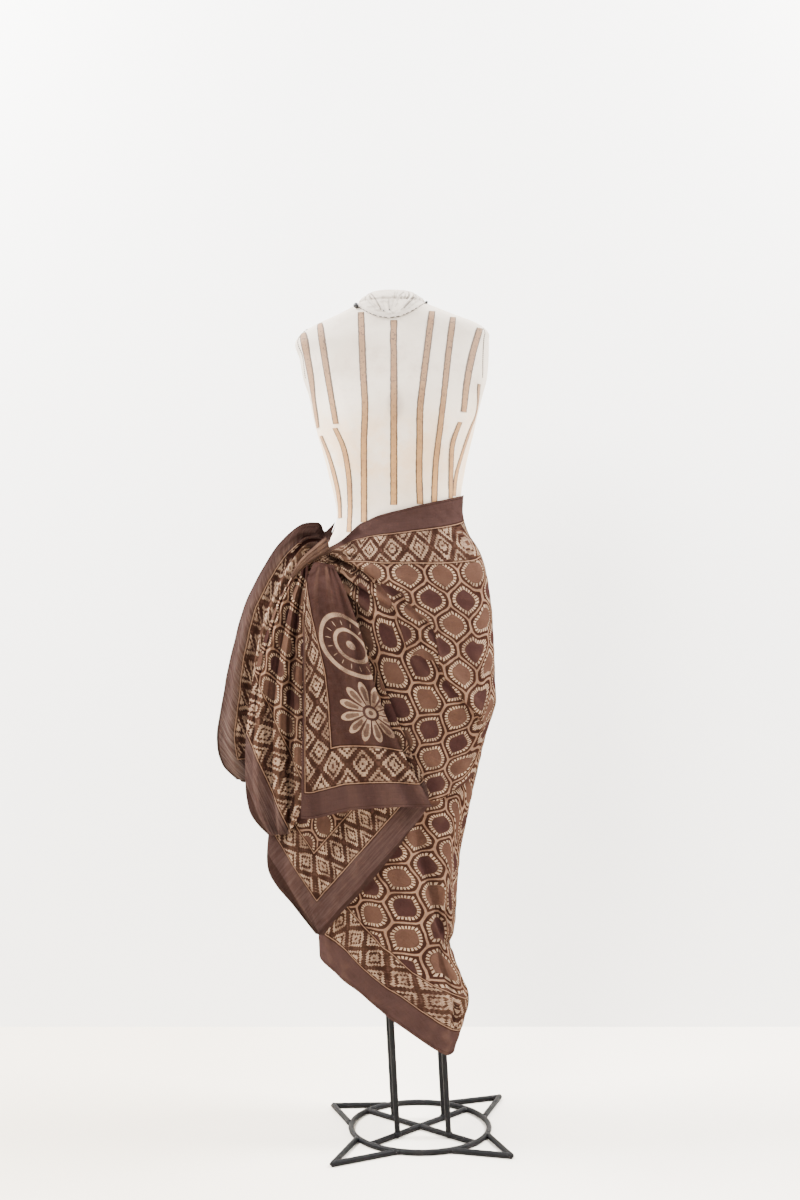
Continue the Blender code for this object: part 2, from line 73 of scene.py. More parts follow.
CLOTH_HEIGHT = 1.02     # from the upper to the lower hem
BORDER = 0.045          # plain border, hem to the first thin line
BAND = 0.105            # hem to the second thin line
CELL_WIDE = 0.066       # one column of the field
CELL_ROW = 0.042        # from one row of the field to the next
LOZENGE = 0.052         # pitch of the lozenges in the band


def columns(names, rows):
    """Rows of numbers as one array for each named column."""
    table = np.array(rows, float)
    return {name: table[:, i] for i, name in enumerate(names.split())}


def smooth(table, key, name, at):
    """The named column read at `at` along the key column, through a cubic that keeps its rows."""
    x, y = table[key], table[name]
    if x[0] > x[-1]:
        x, y = x[::-1], y[::-1]
    at = np.clip(np.asarray(at, float), x[0], x[-1])
    step = np.diff(x)
    slope = np.diff(y) / step
    tangent = np.empty_like(y)
    tangent[1:-1] = (slope[:-1] * step[1:] + slope[1:] * step[:-1]) / (step[:-1] + step[1:])
    tangent[0], tangent[-1] = slope[0], slope[-1]
    i = np.clip(np.searchsorted(x, at, side="right") - 1, 0, len(step) - 1)
    t = (at - x[i]) / step[i]
    return (
        y[i] * (1 + 2 * t) * (1 - t) ** 2
        + tangent[i] * step[i] * t * (1 - t) ** 2
        + y[i + 1] * t * t * (3 - 2 * t)
        + tangent[i + 1] * step[i] * t * t * (t - 1)
    )


def ease(low, high, x):
    """0 below low, 1 above high, smooth between."""
    t = np.clip((x - low) / (high - low), 0, 1)
    return t * t * (3 - 2 * t)


def ripple(x, z, seed, scale):
    """Soft uneven waves between about -1 and 1, the same each time."""
    made = np.random.default_rng(seed)
    total = 0.0
    for _ in range(7):
        kx, kz, shift = made.normal(0, 1, 3)
        total = total + np.sin((kx * x + kz * z) * 2 * np.pi / scale + shift * 3)
    return total / 3.5


FORM = columns(
    "z middle half front back",
    [
        (1.4838, -0.0504, 0.0600, 0.0510, 0.0560),
        (1.4650, -0.0440, 0.1020, 0.0600, 0.0640),
        (1.4460, -0.0400, 0.1470, 0.0660, 0.0680),
        (1.4320, -0.0440, 0.1670, 0.0710, 0.0720),
        (1.4180, -0.0495, 0.1732, 0.0770, 0.0770),
        (1.3840, -0.0464, 0.1697, 0.0900, 0.0860),
        (1.3516, -0.0450, 0.1656, 0.1020, 0.0920),
        (1.3156, -0.0438, 0.1555, 0.1150, 0.0960),
        (1.2796, -0.0450, 0.1476, 0.1200, 0.0980),
        (1.2472, -0.0441, 0.1395, 0.1170, 0.0970),
        (1.2112, -0.0432, 0.1296, 0.1080, 0.0940),
        (1.1752, -0.0423, 0.1215, 0.0980, 0.0900),
        (1.1392, -0.0405, 0.1143, 0.0900, 0.0870),
        (1.1050, -0.0387, 0.1107, 0.0870, 0.0860),
        (1.0750, -0.0385, 0.1165, 0.0890, 0.0890),
        (1.0420, -0.0385, 0.1350, 0.0950, 0.0950),
        (1.0060, -0.0385, 0.1485, 0.1030, 0.1050),
        (0.9520, -0.0385, 0.1565, 0.1100, 0.1150),
        (0.8800, -0.0385, 0.1620, 0.1130, 0.1200),
        (0.8080, -0.0385, 0.1645, 0.1120, 0.1190),
        (0.7650, -0.0385, 0.1645, 0.1100, 0.1150),
        (0.7490, -0.0385, 0.1610, 0.1070, 0.1120),
        (FORM_BOTTOM, -0.0385, 0.1550, 0.1010, 0.1060),
    ],
)
WRAP = columns(
    "z left right front back",
    [
        (1.1500, -0.1590, 0.0800, 0.0950, 0.0930),
        (1.1050, -0.1545, 0.0775, 0.0925, 0.0915),
        (1.0750, -0.1620, 0.0860, 0.0960, 0.0955),
        (1.0420, -0.1835, 0.1060, 0.1040, 0.1040),
        (1.0060, -0.1970, 0.1185, 0.1120, 0.1140),
        (0.9520, -0.2045, 0.1270, 0.1190, 0.1240),
        (0.8800, -0.2100, 0.1325, 0.1220, 0.1290),
        (0.8080, -0.2125, 0.1350, 0.1210, 0.1280),
        (0.7650, -0.2130, 0.1360, 0.1190, 0.1240),
        (0.7300, -0.2110, 0.1250, 0.1180, 0.1200),
        (0.6640, -0.2060, 0.1080, 0.1160, 0.1170),
        (0.5920, -0.2010, 0.0918, 0.1140, 0.1150),
        (0.5200, -0.1960, 0.0760, 0.1110, 0.1130),
        (0.4480, -0.1905, 0.0684, 0.1080, 0.1110),
        (0.3760, -0.1850, 0.0640, 0.1050, 0.1080),
        (0.3360, -0.1820, 0.0590, 0.1030, 0.1070),
        (0.3000, -0.1790, 0.0650, 0.1020, 0.1060),
        (0.2500, -0.1750, 0.0810, 0.1010, 0.1040),
        (0.2000, -0.1700, 0.0750, 0.1000, 0.1020),
        (0.1300, -0.1640, 0.0580, 0.0980, 0.1000),
    ],
)
WRAP_EDGES = columns(
    "turn top hem",
    [
        (-82, 1.0180, 0.3180),
        (-65, 1.0320, 0.3080),
        (-52, 1.0380, 0.3010),
        (-44, 1.0520, 0.2930),
        (-38, 1.0740, 0.2870),
        (-24, 1.0920, 0.2690),
        (0, 1.1080, 0.2220),
        (18, 1.1180, 0.1930),
        (40, 1.1270, 0.1650),
        (67, 1.1360, 0.1460),
        (90, 1.1410, 0.1520),
        (135, 1.1380, 0.1950),
        (180, 1.1300, 0.2450),
        (225, 1.1180, 0.2900),
        (260, 1.0920, 0.3080),
        (280, 1.0620, 0.3060),
        (300, 1.0200, 0.3020),
        (335, 0.9800, 0.2900),
    ],
)
# Folds of the wrap: the large ones of its solid, and the finer ones between.
# sharp is how much steeper the lower left side of a fold is than its other side.
WRAP_FOLDS = columns(
    "turn_a z_a turn_b z_b out width sharp",
    [
        (-62, 1.030, -20, 0.900, 0.0030, 0.008, 1),
        (-62, 1.020, -30, 0.820, -0.0040, 0.009, 1),
        (-64, 0.990, -38, 0.760, 0.0050, 0.010, 1),
        (-30, 0.760, 5, 0.600, -0.0050, 0.012, 1),
        (-12, 0.700, 30, 0.420, 0.0060, 0.014, 1),
        (20, 0.560, 62, 0.330, -0.0120, 0.013, 1),
        (58, 0.360, 80, 0.180, 0.0080, 0.015, 1),
        (-55, 0.600, -20, 0.330, 0.0060, 0.015, 1),
        (-35, 0.560, 0, 0.280, -0.0060, 0.014, 1),
        (110, 0.740, 128, 0.260, 0.0090, 0.016, 1),
        (148, 0.760, 156, 0.280, -0.0080, 0.015, 1),
        (182, 0.740, 186, 0.300, 0.0090, 0.016, 1),
        (215, 0.780, 208, 0.340, -0.0070, 0.015, 1),
        (250, 0.700, 236, 0.360, 0.0080, 0.015, 1),
        # drawn towards the tie
        (-46, 1.040, -24, 1.030, 0.0030, 0.004, 2),
        (-47, 1.034, -18, 1.006, 0.0035, 0.004, 3),
        (-49, 1.026, -8, 0.985, -0.0025, 0.004, 1),
        (-50, 1.024, 4, 0.930, 0.0060, 0.006, 4),
        (-52, 1.018, -6, 0.944, -0.0030, 0.005, 1),
        (-52, 1.016, -2, 0.900, 0.0055, 0.006, 4),
        (-53, 1.010, -16, 0.900, -0.0035, 0.005, 1),
        (-54, 1.006, -14, 0.840, 0.0050, 0.006, 3),
        (-55, 1.000, -26, 0.860, -0.0040, 0.005, 1),
        (-56, 0.996, -26, 0.780, 0.0050, 0.006, 3),
        (4, 0.930, 24, 0.840, 0.0045, 0.009, 5),
        (24, 0.850, 44, 0.770, 0.0040, 0.010, 5),
        (40, 0.790, 66, 0.720, 0.0030, 0.012, 3),
        (2, 0.880, 20, 0.780, 0.0030, 0.009, 4),
        (16, 0.800, 38, 0.640, -0.0030, 0.012, 1),
        # below the form's lower edge
        (36, 0.740, 52, 0.560, -0.0040, 0.012, 1),
        (60, 0.742, 70, 0.560, 0.0035, 0.012, 1),
        (44, 0.480, 62, 0.350, 0.0050, 0.007, 3),
        (52, 0.430, 74, 0.345, -0.0060, 0.006, 1),
        (34, 0.400, 60, 0.338, 0.0035, 0.006, 2),
        (60, 0.350, 96, 0.330, -0.0080, 0.007, 1),
        (66, 0.325, 84, 0.200, 0.0050, 0.007, 2),
        (52, 0.330, 60, 0.180, -0.0040, 0.009, 1),
        (-20, 0.460, 10, 0.300, 0.0025, 0.010, 1),
        (95, 0.700, 108, 0.300, -0.0070, 0.013, 1),
        (128, 0.720, 140, 0.260, 0.0060, 0.012, 1),
        (165, 0.720, 170, 0.300, 0.0060, 0.012, 1),
        (198, 0.760, 198, 0.320, -0.0060, 0.012, 1),
        (232, 0.740, 222, 0.340, 0.0060, 0.012, 1),
    ],
)
TIE = {"turn": -62.0, "z": 1.035, "out": 0.030, "reach": 0.030}

EDGE_NAMES = "lx ly lz rx ry rz swell"
TAIL_FRONT = columns(
    EDGE_NAMES,
    [
        (-0.184, -0.122, 1.018, -0.150, -0.122, 1.012, 0.004),
        (-0.198, -0.148, 0.969, -0.128, -0.146, 0.966, 0.006),
        (-0.200, -0.156, 0.884, -0.099, -0.152, 0.884, 0.006),
        (-0.200, -0.158, 0.783, -0.072, -0.150, 0.783, 0.006),
        (-0.202, -0.157, 0.682, -0.028, -0.144, 0.682, 0.006),
        (-0.204, -0.154, 0.582, 0.019, -0.138, 0.594, 0.008),
    ],
)
TAIL_CORNER = columns(
    EDGE_NAMES,
    [
        (-0.192, -0.098, 0.985, -0.152, -0.108, 0.985, 0.002),
        (-0.212, -0.080, 0.900, -0.105, -0.126, 0.900, 0.004),
        (-0.224, -0.070, 0.800, -0.062, -0.131, 0.800, 0.004),
        (-0.238, -0.070, 0.700, -0.020, -0.131, 0.700, 0.004),
        (-0.256, -0.074, 0.609, 0.013, -0.128, 0.612, 0.004),
        (-0.265, -0.084, 0.545, -0.027, -0.125, 0.545, 0.003),
        (-0.266, -0.089, 0.490, -0.068, -0.121, 0.490, 0.003),
        (-0.250, -0.092, 0.456, -0.108, -0.115, 0.444, 0.002),
        (-0.222, -0.095, 0.424, -0.142, -0.108, 0.407, 0.002),
        (-0.182, -0.099, 0.374, -0.168, -0.101, 0.372, 0.000),
    ],
)
TAIL_OUTER = columns(
    EDGE_NAMES,
    [
        (-0.1500, -0.066, 1.0885, -0.1582, -0.086, 1.0535, 0.000),
        (-0.1670, -0.074, 1.0720, -0.1665, -0.091, 1.0490, 0.002),
        (-0.1738, -0.076, 1.0835, -0.1700, -0.094, 1.0450, 0.006),
        (-0.1840, -0.072, 1.0880, -0.1760, -0.096, 1.0400, 0.008),
        (-0.212, -0.062, 1.084, -0.186, -0.098, 1.036, 0.010),
        (-0.246, -0.054, 1.056, -0.205, -0.099, 1.012, 0.010),
        (-0.278, -0.045, 1.010, -0.222, -0.097, 0.984, 0.010),
        (-0.312, -0.032, 0.944, -0.246, -0.088, 0.930, 0.008),
        (-0.338, -0.020, 0.856, -0.269, -0.070, 0.856, 0.006),
        (-0.353, -0.010, 0.782, -0.276, -0.050, 0.782, 0.006),
        (-0.365, -0.005, 0.706, -0.274, -0.040, 0.706, 0.006),
        (-0.356, -0.005, 0.658, -0.274, -0.034, 0.654, 0.005),
        (-0.330, -0.005, 0.630, -0.276, -0.030, 0.622, 0.004),
    ],
)
TAIL_INNER = columns(
    EDGE_NAMES,
    [
        (-0.216, -0.114, 1.016, -0.193, -0.124, 1.015, 0.001),
        (-0.224, -0.115, 0.990, -0.194, -0.128, 0.990, 0.001),
        (-0.245, -0.113, 0.952, -0.198, -0.131, 0.952, 0.003),
        (-0.268, -0.105, 0.892, -0.201, -0.127, 0.892, 0.005),
        (-0.286, -0.095, 0.834, -0.203, -0.122, 0.835, 0.006),
        (-0.299, -0.086, 0.769, -0.205, -0.118, 0.771, 0.006),
        (-0.306, -0.080, 0.690, -0.205, -0.116, 0.694, 0.006),
        (-0.306, -0.080, 0.630, -0.205, -0.116, 0.640, 0.006),
        (-0.303, -0.080, 0.603, -0.205, -0.116, 0.612, 0.005),
        (-0.296, -0.086, 0.580, -0.208, -0.117, 0.588, 0.004),
        (-0.282, -0.091, 0.561, -0.216, -0.114, 0.568, 0.003),
        (-0.263, -0.096, 0.544, -0.227, -0.110, 0.549, 0.001),
    ],
)
KNOT_BAND = columns(
    EDGE_NAMES,
    [
        (-0.1640, -0.1120, 1.0620, -0.1580, -0.1080, 1.0370, 0.003),
        (-0.1800, -0.1240, 1.0470, -0.1725, -0.1220, 1.0255, 0.005),
        (-0.2010, -0.1340, 1.0270, -0.1920, -0.1330, 1.0130, 0.004),
        (-0.2130, -0.1340, 1.0110, -0.2060, -0.1330, 1.0010, 0.003),
        (-0.2235, -0.1300, 0.9935, -0.2190, -0.1300, 0.9865, 0.001),
    ],
)
# top and foot: where across a pleat lies at the top and the foot of its stretch;
# out: how far to the front there; start and end: how much of the length it runs.
PLEAT_NAMES = "top foot out_top out_foot width start end"
PLEATS_FRONT = columns(
    PLEAT_NAMES,
    [
        (0.62, 0.70, 0.004, 0.006, 0.07, 0, 1),
        (0.86, 0.90, -0.003, -0.004, 0.06, 0, 1),
        (0.30, 0.20, 0.003, 0.000, 0.05, 0, 0.5),
        (0.72, 0.55, -0.004, 0.001, 0.04, 0, 0.55),
        (0.95, 0.96, 0.003, 0.003, 0.03, 0.1, 1),
        (0.10, 0.12, -0.001, -0.003, 0.05, 0.3, 1),
        (0.45, 0.42, 0.000, 0.003, 0.06, 0.6, 1),
    ],
)
PLEATS_CORNER = columns(
    PLEAT_NAMES,
    [
        (0.20, 0.30, 0.004, 0.007, 0.08, 0, 1),
        (0.55, 0.55, -0.003, -0.004, 0.10, 0, 1),
        (0.03, 0.04, 0.002, 0.006, 0.022, 0.3, 1),
        (0.12, 0.11, -0.003, -0.007, 0.028, 0.3, 1),
        (0.19, 0.20, 0.002, 0.006, 0.024, 0.35, 1),
        (0.28, 0.37, -0.002, -0.006, 0.030, 0.35, 1),
        (0.42, 0.46, 0.001, 0.004, 0.030, 0.4, 1),
        (0.72, 0.80, 0.001, 0.002, 0.05, 0.5, 1),
    ],
)
PLEATS_OUTER = columns(
    PLEAT_NAMES,
    [
        (0.35, 0.34, 0.004, 0.010, 0.09, 0, 1),
        (0.62, 0.62, -0.004, -0.008, 0.08, 0, 1),
        (0.85, 0.84, 0.004, 0.008, 0.07, 0, 1),
        (0.10, 0.05, 0.003, -0.001, 0.025, 0, 0.30),
        (0.22, 0.16, -0.004, -0.002, 0.030, 0, 0.40),
        (0.44, 0.48, -0.004, 0.001, 0.028, 0, 0.45),
        (0.56, 0.57, 0.005, 0.001, 0.026, 0, 0.45),
        (0.68, 0.72, -0.005, 0.001, 0.026, 0, 0.50),
        (0.79, 0.82, 0.005, 0.001, 0.026, 0, 0.50),
        (0.90, 0.92, -0.005, 0.001, 0.026, 0, 0.50),
        (0.18, 0.12, 0.003, -0.003, 0.04, 0, 1),
        (0.50, 0.52, -0.003, 0.003, 0.03, 0, 0.7),
        (0.74, 0.76, 0.003, -0.002, 0.03, 0, 0.8),
        (0.93, 0.95, -0.003, -0.004, 0.03, 0, 1),
    ],
)
PLEATS_INNER = columns(
    PLEAT_NAMES,
    [
        (0.20, 0.22, 0.001, 0.009, 0.08, 0, 1),
        (0.42, 0.42, -0.001, -0.010, 0.07, 0, 1),
        (0.62, 0.60, 0.001, 0.009, 0.07, 0, 1),
        (0.84, 0.82, -0.001, -0.010, 0.06, 0, 1),
        (0.14, 0.15, -0.004, -0.004, 0.022, 0, 1),
        (0.27, 0.29, 0.004, 0.005, 0.022, 0, 1),
        (0.47, 0.47, -0.004, -0.004, 0.020, 0, 1),
        (0.68, 0.65, 0.004, 0.005, 0.022, 0, 1),
        (0.78, 0.76, -0.005, -0.006, 0.020, 0, 1),
        (0.89, 0.88, 0.004, 0.005, 0.020, 0, 1),
        (0.08, 0.10, 0.002, -0.004, 0.03, 0, 1),
        (0.32, 0.33, 0.003, 0.003, 0.03, 0, 0.8),
        (0.52, 0.50, 0.003, -0.003, 0.03, 0, 0.9),
        (0.73, 0.70, -0.003, 0.003, 0.03, 0, 0.9),
        (0.94, 0.94, 0.003, 0.005, 0.03, 0, 1),
    ],
)
PLEATS_KNOT = columns(
    PLEAT_NAMES,
    [
        (0.45, 0.45, 0.0015, 0.0005, 0.12, 0, 1),
        (0.16, 0.24, 0.0034, 0.0020, 0.045, 0, 1),
        (0.32, 0.38, -0.0034, -0.0020, 0.040, 0, 1),
        (0.62, 0.60, -0.0034, -0.0020, 0.040, 0, 1),
        (0.82, 0.75, 0.0034, 0.0015, 0.050, 0, 1),
        (0.93, 0.92, 0.0024, 0.0015, 0.030, 0, 1),
    ],
)


# ----------------------------------------------------------- colour and nodes
def srgb(r, g, b):
    """An 8-bit display colour as the linear colour that Blender reads."""
    def line(v):
        v /= 255
        return v / 12.92 if v <= 0.04045 else ((v + 0.055) / 1.055) ** 2.4

    return (line(r), line(g), line(b), 1.0)


class Field:
    """A number at each point of a surface, made by shader nodes."""

    def __init__(self, tree, out):
        self.tree, self.out = tree, out

    def op(self, kind, *inputs):
        node = self.tree.nodes.new("ShaderNodeMath")
        node.operation = kind
        for socket, value in zip(node.inputs, inputs):
            if isinstance(value, Field):
                self.tree.links.new(value.out, socket)
            else:
                socket.default_value = float(value)
        return Field(self.tree, node.outputs[0])

    def __add__(self, other):
        return self.op("ADD", self, other)

    __radd__ = __add__

    def __sub__(self, other):
        return self.op("SUBTRACT", self, other)

    def __rsub__(self, other):
        return self.op("SUBTRACT", other, self)

    def __mul__(self, other):
        return self.op("MULTIPLY", self, other)

    __rmul__ = __mul__

    def __truediv__(self, other):
        return self.op("DIVIDE", self, other)

    def __abs__(self):
        return self.op("ABSOLUTE", self)

    def fract(self):
        return self.op("FRACT", self)

    def floor(self):
        return self.op("FLOOR", self)

    def power(self, other):
        return self.op("POWER", self, other)

    def sin(self):
        return self.op("SINE", self)

    def least(self, other):
        return self.op("MINIMUM", self, other)

    def most(self, other):
        return self.op("MAXIMUM", self, other)

    def below(self, other):
        return self.op("LESS_THAN", self, other)

    def clip(self):
        node = self.tree.nodes.new("ShaderNodeClamp")
        self.tree.links.new(self.out, node.inputs[0])
        return Field(self.tree, node.outputs[0])

    def ease(self, low, high):
        """0 below low, 1 above high, smooth between."""
        node = self.tree.nodes.new("ShaderNodeMapRange")
        node.interpolation_type = "SMOOTHSTEP"
        self.tree.links.new(self.out, node.inputs[0])
        node.inputs[1].default_value, node.inputs[2].default_value = low, high
        return Field(self.tree, node.outputs[0])

    def within(self, low, high, soft):
        """1 between low and high, with soft sides."""
        return self.ease(low - soft / 2, low + soft / 2) * (1 - self.ease(high - soft / 2, high + soft / 2))


def start_material(name):
    made = bpy.data.materials.new(name)
    made.use_nodes = True
    tree = made.node_tree
    return made, tree, tree.nodes["Principled BSDF"]


def uv_fields(tree, name):
    node = tree.nodes.new("ShaderNodeUVMap")
    node.uv_map = name
    split = tree.nodes.new("ShaderNodeSeparateXYZ")
    tree.links.new(node.outputs[0], split.inputs[0])
    return Field(tree, split.outputs[0]), Field(tree, split.outputs[1])


def object_vector(tree):
    return tree.nodes.new("ShaderNodeTexCoord").outputs["Object"]


def combined(tree, x, y, z=0.0):
    node = tree.nodes.new("ShaderNodeCombineXYZ")
    for socket, value in zip(node.inputs, (x, y, z)):
        if isinstance(value, Field):
            tree.links.new(value.out, socket)
        else:
            socket.default_value = float(value)
    return node.outputs[0]


def noise(tree, vector, scale, detail=2.0, rough=0.5, distortion=0.0):
    node = tree.nodes.new("ShaderNodeTexNoise")
    tree.links.new(vector, node.inputs["Vector"])
    node.inputs["Scale"].default_value = scale
    node.inputs["Detail"].default_value = detail
    node.inputs["Roughness"].default_value = rough
    node.inputs["Distortion"].default_value = distortion
    return Field(tree, node.outputs["Fac"])


def crack(tree, vector, scale, width):
    """1 along the edges of uneven patches, 0 inside them."""
    node = tree.nodes.new("ShaderNodeTexVoronoi")
    node.feature = "DISTANCE_TO_EDGE"
    tree.links.new(vector, node.inputs["Vector"])
    node.inputs["Scale"].default_value = scale
    return 1 - Field(tree, node.outputs["Distance"]).ease(0.0, width)


def mixed(tree, amount, a, b, kind="MIX"):
    """Colour a where amount is 0 and b where it is 1."""
    node = tree.nodes.new("ShaderNodeMix")
    node.data_type = "RGBA"
    node.blend_type = kind
    tree.links.new(amount.out, node.inputs[0]) if isinstance(amount, Field) else setattr(node.inputs[0], "default_value", amount)
    for socket, value in ((node.inputs[6], a), (node.inputs[7], b)):
        if isinstance(value, tuple):
            socket.default_value = value
        else:
            tree.links.new(value, socket)
    return node.outputs[2]


def scaled(tree, colour, factor):
    """A colour made lighter or darker by a field."""
    node = tree.nodes.new("ShaderNodeVectorMath")
    node.operation = "SCALE"
    tree.links.new(colour, node.inputs[0])
    tree.links.new(factor.out, node.inputs["Scale"])
    return node.outputs[0]


def bump(tree, shader, *layers):
    """Height fields (field, strength, distance) one on another into the shader's normal."""
    last = None
    for field, strength, distance in layers:
        node = tree.nodes.new("ShaderNodeBump")
        node.inputs["Strength"].default_value = strength
        node.inputs["Distance"].default_value = distance
        tree.links.new(field.out, node.inputs["Height"])
        if last is not None:
            tree.links.new(last, node.inputs["Normal"])
        last = node.outputs[0]
    tree.links.new(last, shader.inputs["Normal"])


# --------------------------------------------------------------- the batik
DYE = 0.370              # how much of the light the dyes below give back, against a swatch in plain daylight


def dye(r, g, b):
    colour = srgb(r, g, b)
    return (colour[0] * DYE, colour[1] * DYE, colour[2] * DYE, 1.0)


INK = {
    "ground": dye(62, 39, 32),
    "border": dye(84, 62, 58),
    "dark": dye(76, 51, 48),
    "brown": dye(106, 77, 65),
    "line": dye(186, 146, 120),
    "cream": dye(240, 202, 170),
    "outline": dye(44, 27, 21),
}


def cell(x, y):
    """How far (x, y) lies from a cell's middle: 1 on the line round it. The cell has a point at its top and foot."""
    high, side = CELL_ROW * 0.735, CELL_WIDE / 2
    lean = (CELL_ROW * 0.735 - CELL_ROW * 0.265) / side
    flat = abs(x) / side
    slant = (abs(y) + abs(x) * lean) / high
    return (flat.power(6.0) + slant.power(6.0)).power(1 / 6.0)


def batik(name, pale=0.0, sheer=0.0, panel=False, folded=False):
    """The printed silk. UV map cloth holds the place in the cloth, and edge the distance to its two nearest hems."""
    made, tree, shader = start_material(name)
    s0, t0 = uv_fields(tree, "cloth")
    if folded:
        above_2, above_1 = uv_fields(tree, "folds")
        above_3, far = uv_fields(tree, "fold_low")
        s_m, t_m = uv_fields(tree, "cloth_middle")
        s_l, t_l = uv_fields(tree, "cloth_lower")
        low_2, low_1, low_3 = above_2.below(0.0), above_1.below(0.0), above_3.below(0.0)
        t0 = t0 + low_2 * 0.018 * (1 - far)
        s0, t0 = s0 * (1 - low_1) + s_m * low_1, t0 * (1 - low_1) + t_m * low_1
        s0, t0 = s0 * (1 - low_3) + s_l * low_3, t0 * (1 - low_3) + t_l * low_3
    e1, e2 = uv_fields(tree, "edge")
    trough_shade, ridge = uv_fields(tree, "relief")
    place = combined(tree, s0, t0)
    # the hand-drawn wax wavers by about a millimetre
    waver_s = (noise(tree, place, 38.0, 2.0) - 0.5) * 0.0055
    waver_t = (noise(tree, combined(tree, s0 + 7.3, t0 + 1.9), 38.0, 2.0) - 0.5) * 0.0055
    s, t = s0 + waver_s, t0 + waver_t
    grain = noise(tree, place, 700.0, 2.0, 0.6)
    blot = noise(tree, place, 90.0, 3.0, 0.6)
    patch = noise(tree, place, 9.0, 2.0, 0.5)

    # field: dark cells, and brown ones between them
    a_x = ((s / CELL_WIDE + 0.5).fract() - 0.5) * CELL_WIDE
    a_y = ((t / (2 * CELL_ROW) + 0.5).fract() - 0.5) * (2 * CELL_ROW)
    b_x = ((s / CELL_WIDE).fract() - 0.5) * CELL_WIDE
    b_y = ((t / (2 * CELL_ROW)).fract() - 0.5) * (2 * CELL_ROW)
    h_a, h_b = cell(a_x, a_y), cell(b_x, b_y)
    is_a = h_a.below(h_b)
    h = h_a.least(h_b)
    x = a_x * is_a + b_x * (1 - is_a)
    y = a_y * is_a + b_y * (1 - is_a)
    angle = x.op("ARCTAN2", y, x * 0.86)
    beat = abs((angle * (25 / (2 * math.pi)) + 0.5).fract() - 0.5)
    rim = h + (blot - 0.5) * 0.12
    teeth = (1 - beat.ease(0.25, 0.35)) * rim.within(0.62, 0.80, 0.05)
    teeth = teeth.most(rim.within(0.60, 0.64, 0.03) * 0.30)
    wall = s.op("SMOOTH_MIN", abs(h_a - h_b) * 0.52, 1 - abs(x) * (2 / CELL_WIDE), 0.16) + (blot - 0.5) * 0.014
    line = 1 - wall.ease(0.046, 0.078)
    fill = 1 - h.ease(0.56, 0.60)
    fill_colour = mixed(tree, is_a, INK["brown"], INK["dark"])
    fill_colour = scaled(tree, fill_colour, 0.86 + blot * 0.28)
    field = mixed(tree, fill, INK["ground"], fill_colour)
    ink = noise(tree, place, 26.0, 3.0, 0.6).ease(0.30, 0.66)
    field = mixed(tree, line * ((0.50 + ink * 0.35) + (grain - 0.5) * 0.9).clip(), field, INK["line"])
    field = mixed(tree, teeth * ((0.36 + ink * 0.50) + (grain - 0.5) * 1.0).clip(), field, INK["cream"])

    # hems, thin lines and the lozenge band
    d = e1.least(e2)
    side = e1.below(e2)
    along = t * side + s * (1 - side)
    step = 0.0036
    u = abs(((((along / step).floor() * step) / LOZENGE) + 0.5).fract() - 0.5) * 2
    v = abs(((d + waver_t - BORDER) / step).floor() * step / (BAND - BORDER) - 0.5) * 2
    ring = u + v + (blot - 0.5) * 0.10
    near = ring.least(2.0 - ring)
    light = (near.within(0.12, 0.36, 0.03) + near.within(0.56, 0.76, 0.03)).clip()
    deep = near.within(0.38, 0.54, 0.03).most(near.within(0.80, 0.96, 0.03))
    lozenge = mixed(tree, deep * 0.62, mixed(tree, blot, INK["ground"], INK["brown"]), INK["outline"])
    lozenge = mixed(tree, light * ((0.20 + ink * 0.40) + (grain - 0.5) * 1.3).clip(), lozenge, INK["cream"])
    d_line = d + waver_s * 0.35
    in_band = d.within(BORDER, BAND, 0.0012)
    in_field = d.ease(BAND - 0.0006, BAND + 0.0006)
    colour = mixed(tree, in_band, INK["border"], lozenge)
    if panel:
        # plain ground in the corner, with a ringed roundel over a rosette
        px, py = s0 - 0.160, t0 - 0.272
        qx, qy = s0 - 0.176, t0 - 0.164
        far = (px * px + py * py).op("SQRT", px * px + py * py)
        rings = far.within(0.044, 0.051, 0.0015) + far.within(0.0215, 0.027, 0.0015) + (1 - far.ease(0.006, 0.0075))
        dots = abs((px.op("ARCTAN2", py, px) * (16 / (2 * math.pi))).fract() - 0.5) * far
        studs = (1 - (((far - 0.0355) * (far - 0.0355) + dots * dots * 5.0).op("SQRT", (far - 0.0355) * (far - 0.0355) + dots * dots * 5.0)).ease(0.0036, 0.0050))
        out = (qx * qx + qy * qy).op("SQRT", qx * qx + qy * qy)
        turn = abs((px.op("ARCTAN2", qy, qx) * (12 / (2 * math.pi))).fract() - 0.5)
        reach = 0.052 - turn * turn * 0.105
        petal = out.ease(0.013, 0.0145) * (1 - ((out - reach) / 0.001).ease(-0.5, 0.5)) * (1 - turn.ease(0.36, 0.40))
        inner = out.ease(0.020, 0.0215) * (1 - ((out - reach + 0.007) / 0.001).ease(-0.5, 0.5)) * (1 - turn.ease(0.19, 0.23))
        heart = (1 - out.ease(0.0085, 0.0098)) * (1 - (1 - out.ease(0.0035, 0.0045)) * 0.8)
        mark = (rings + studs + petal * (1 - inner * 0.75) + heart).clip()
        ground = mixed(tree, mark * ((0.16 + ink * 0.46) + (grain - 0.5) * 0.9).clip(), mixed(tree, blot, INK["border"], INK["ground"]), INK["cream"])
        in_panel = s0.ease(BAND - 0.0006, BAND + 0.0006)
        field = mixed(tree, in_panel, field, ground)
    colour = mixed(tree, in_field, colour, field)
    dark_line = d_line.within(BORDER - 0.0028, BORDER + 0.0034, 0.001).most(d_line.within(BAND - 0.0030, BAND + 0.0034, 0.001))
    thin_line = d_line.within(BORDER - 0.0005, BORDER + 0.0009, 0.0006).most(d_line.within(BAND - 0.0006, BAND + 0.0010, 0.0006))
    colour = mixed(tree, dark_line * 0.75, colour, INK["outline"])
    colour = mixed(tree, thin_line * (0.45 + grain * 0.6).clip(), colour, INK["line"])
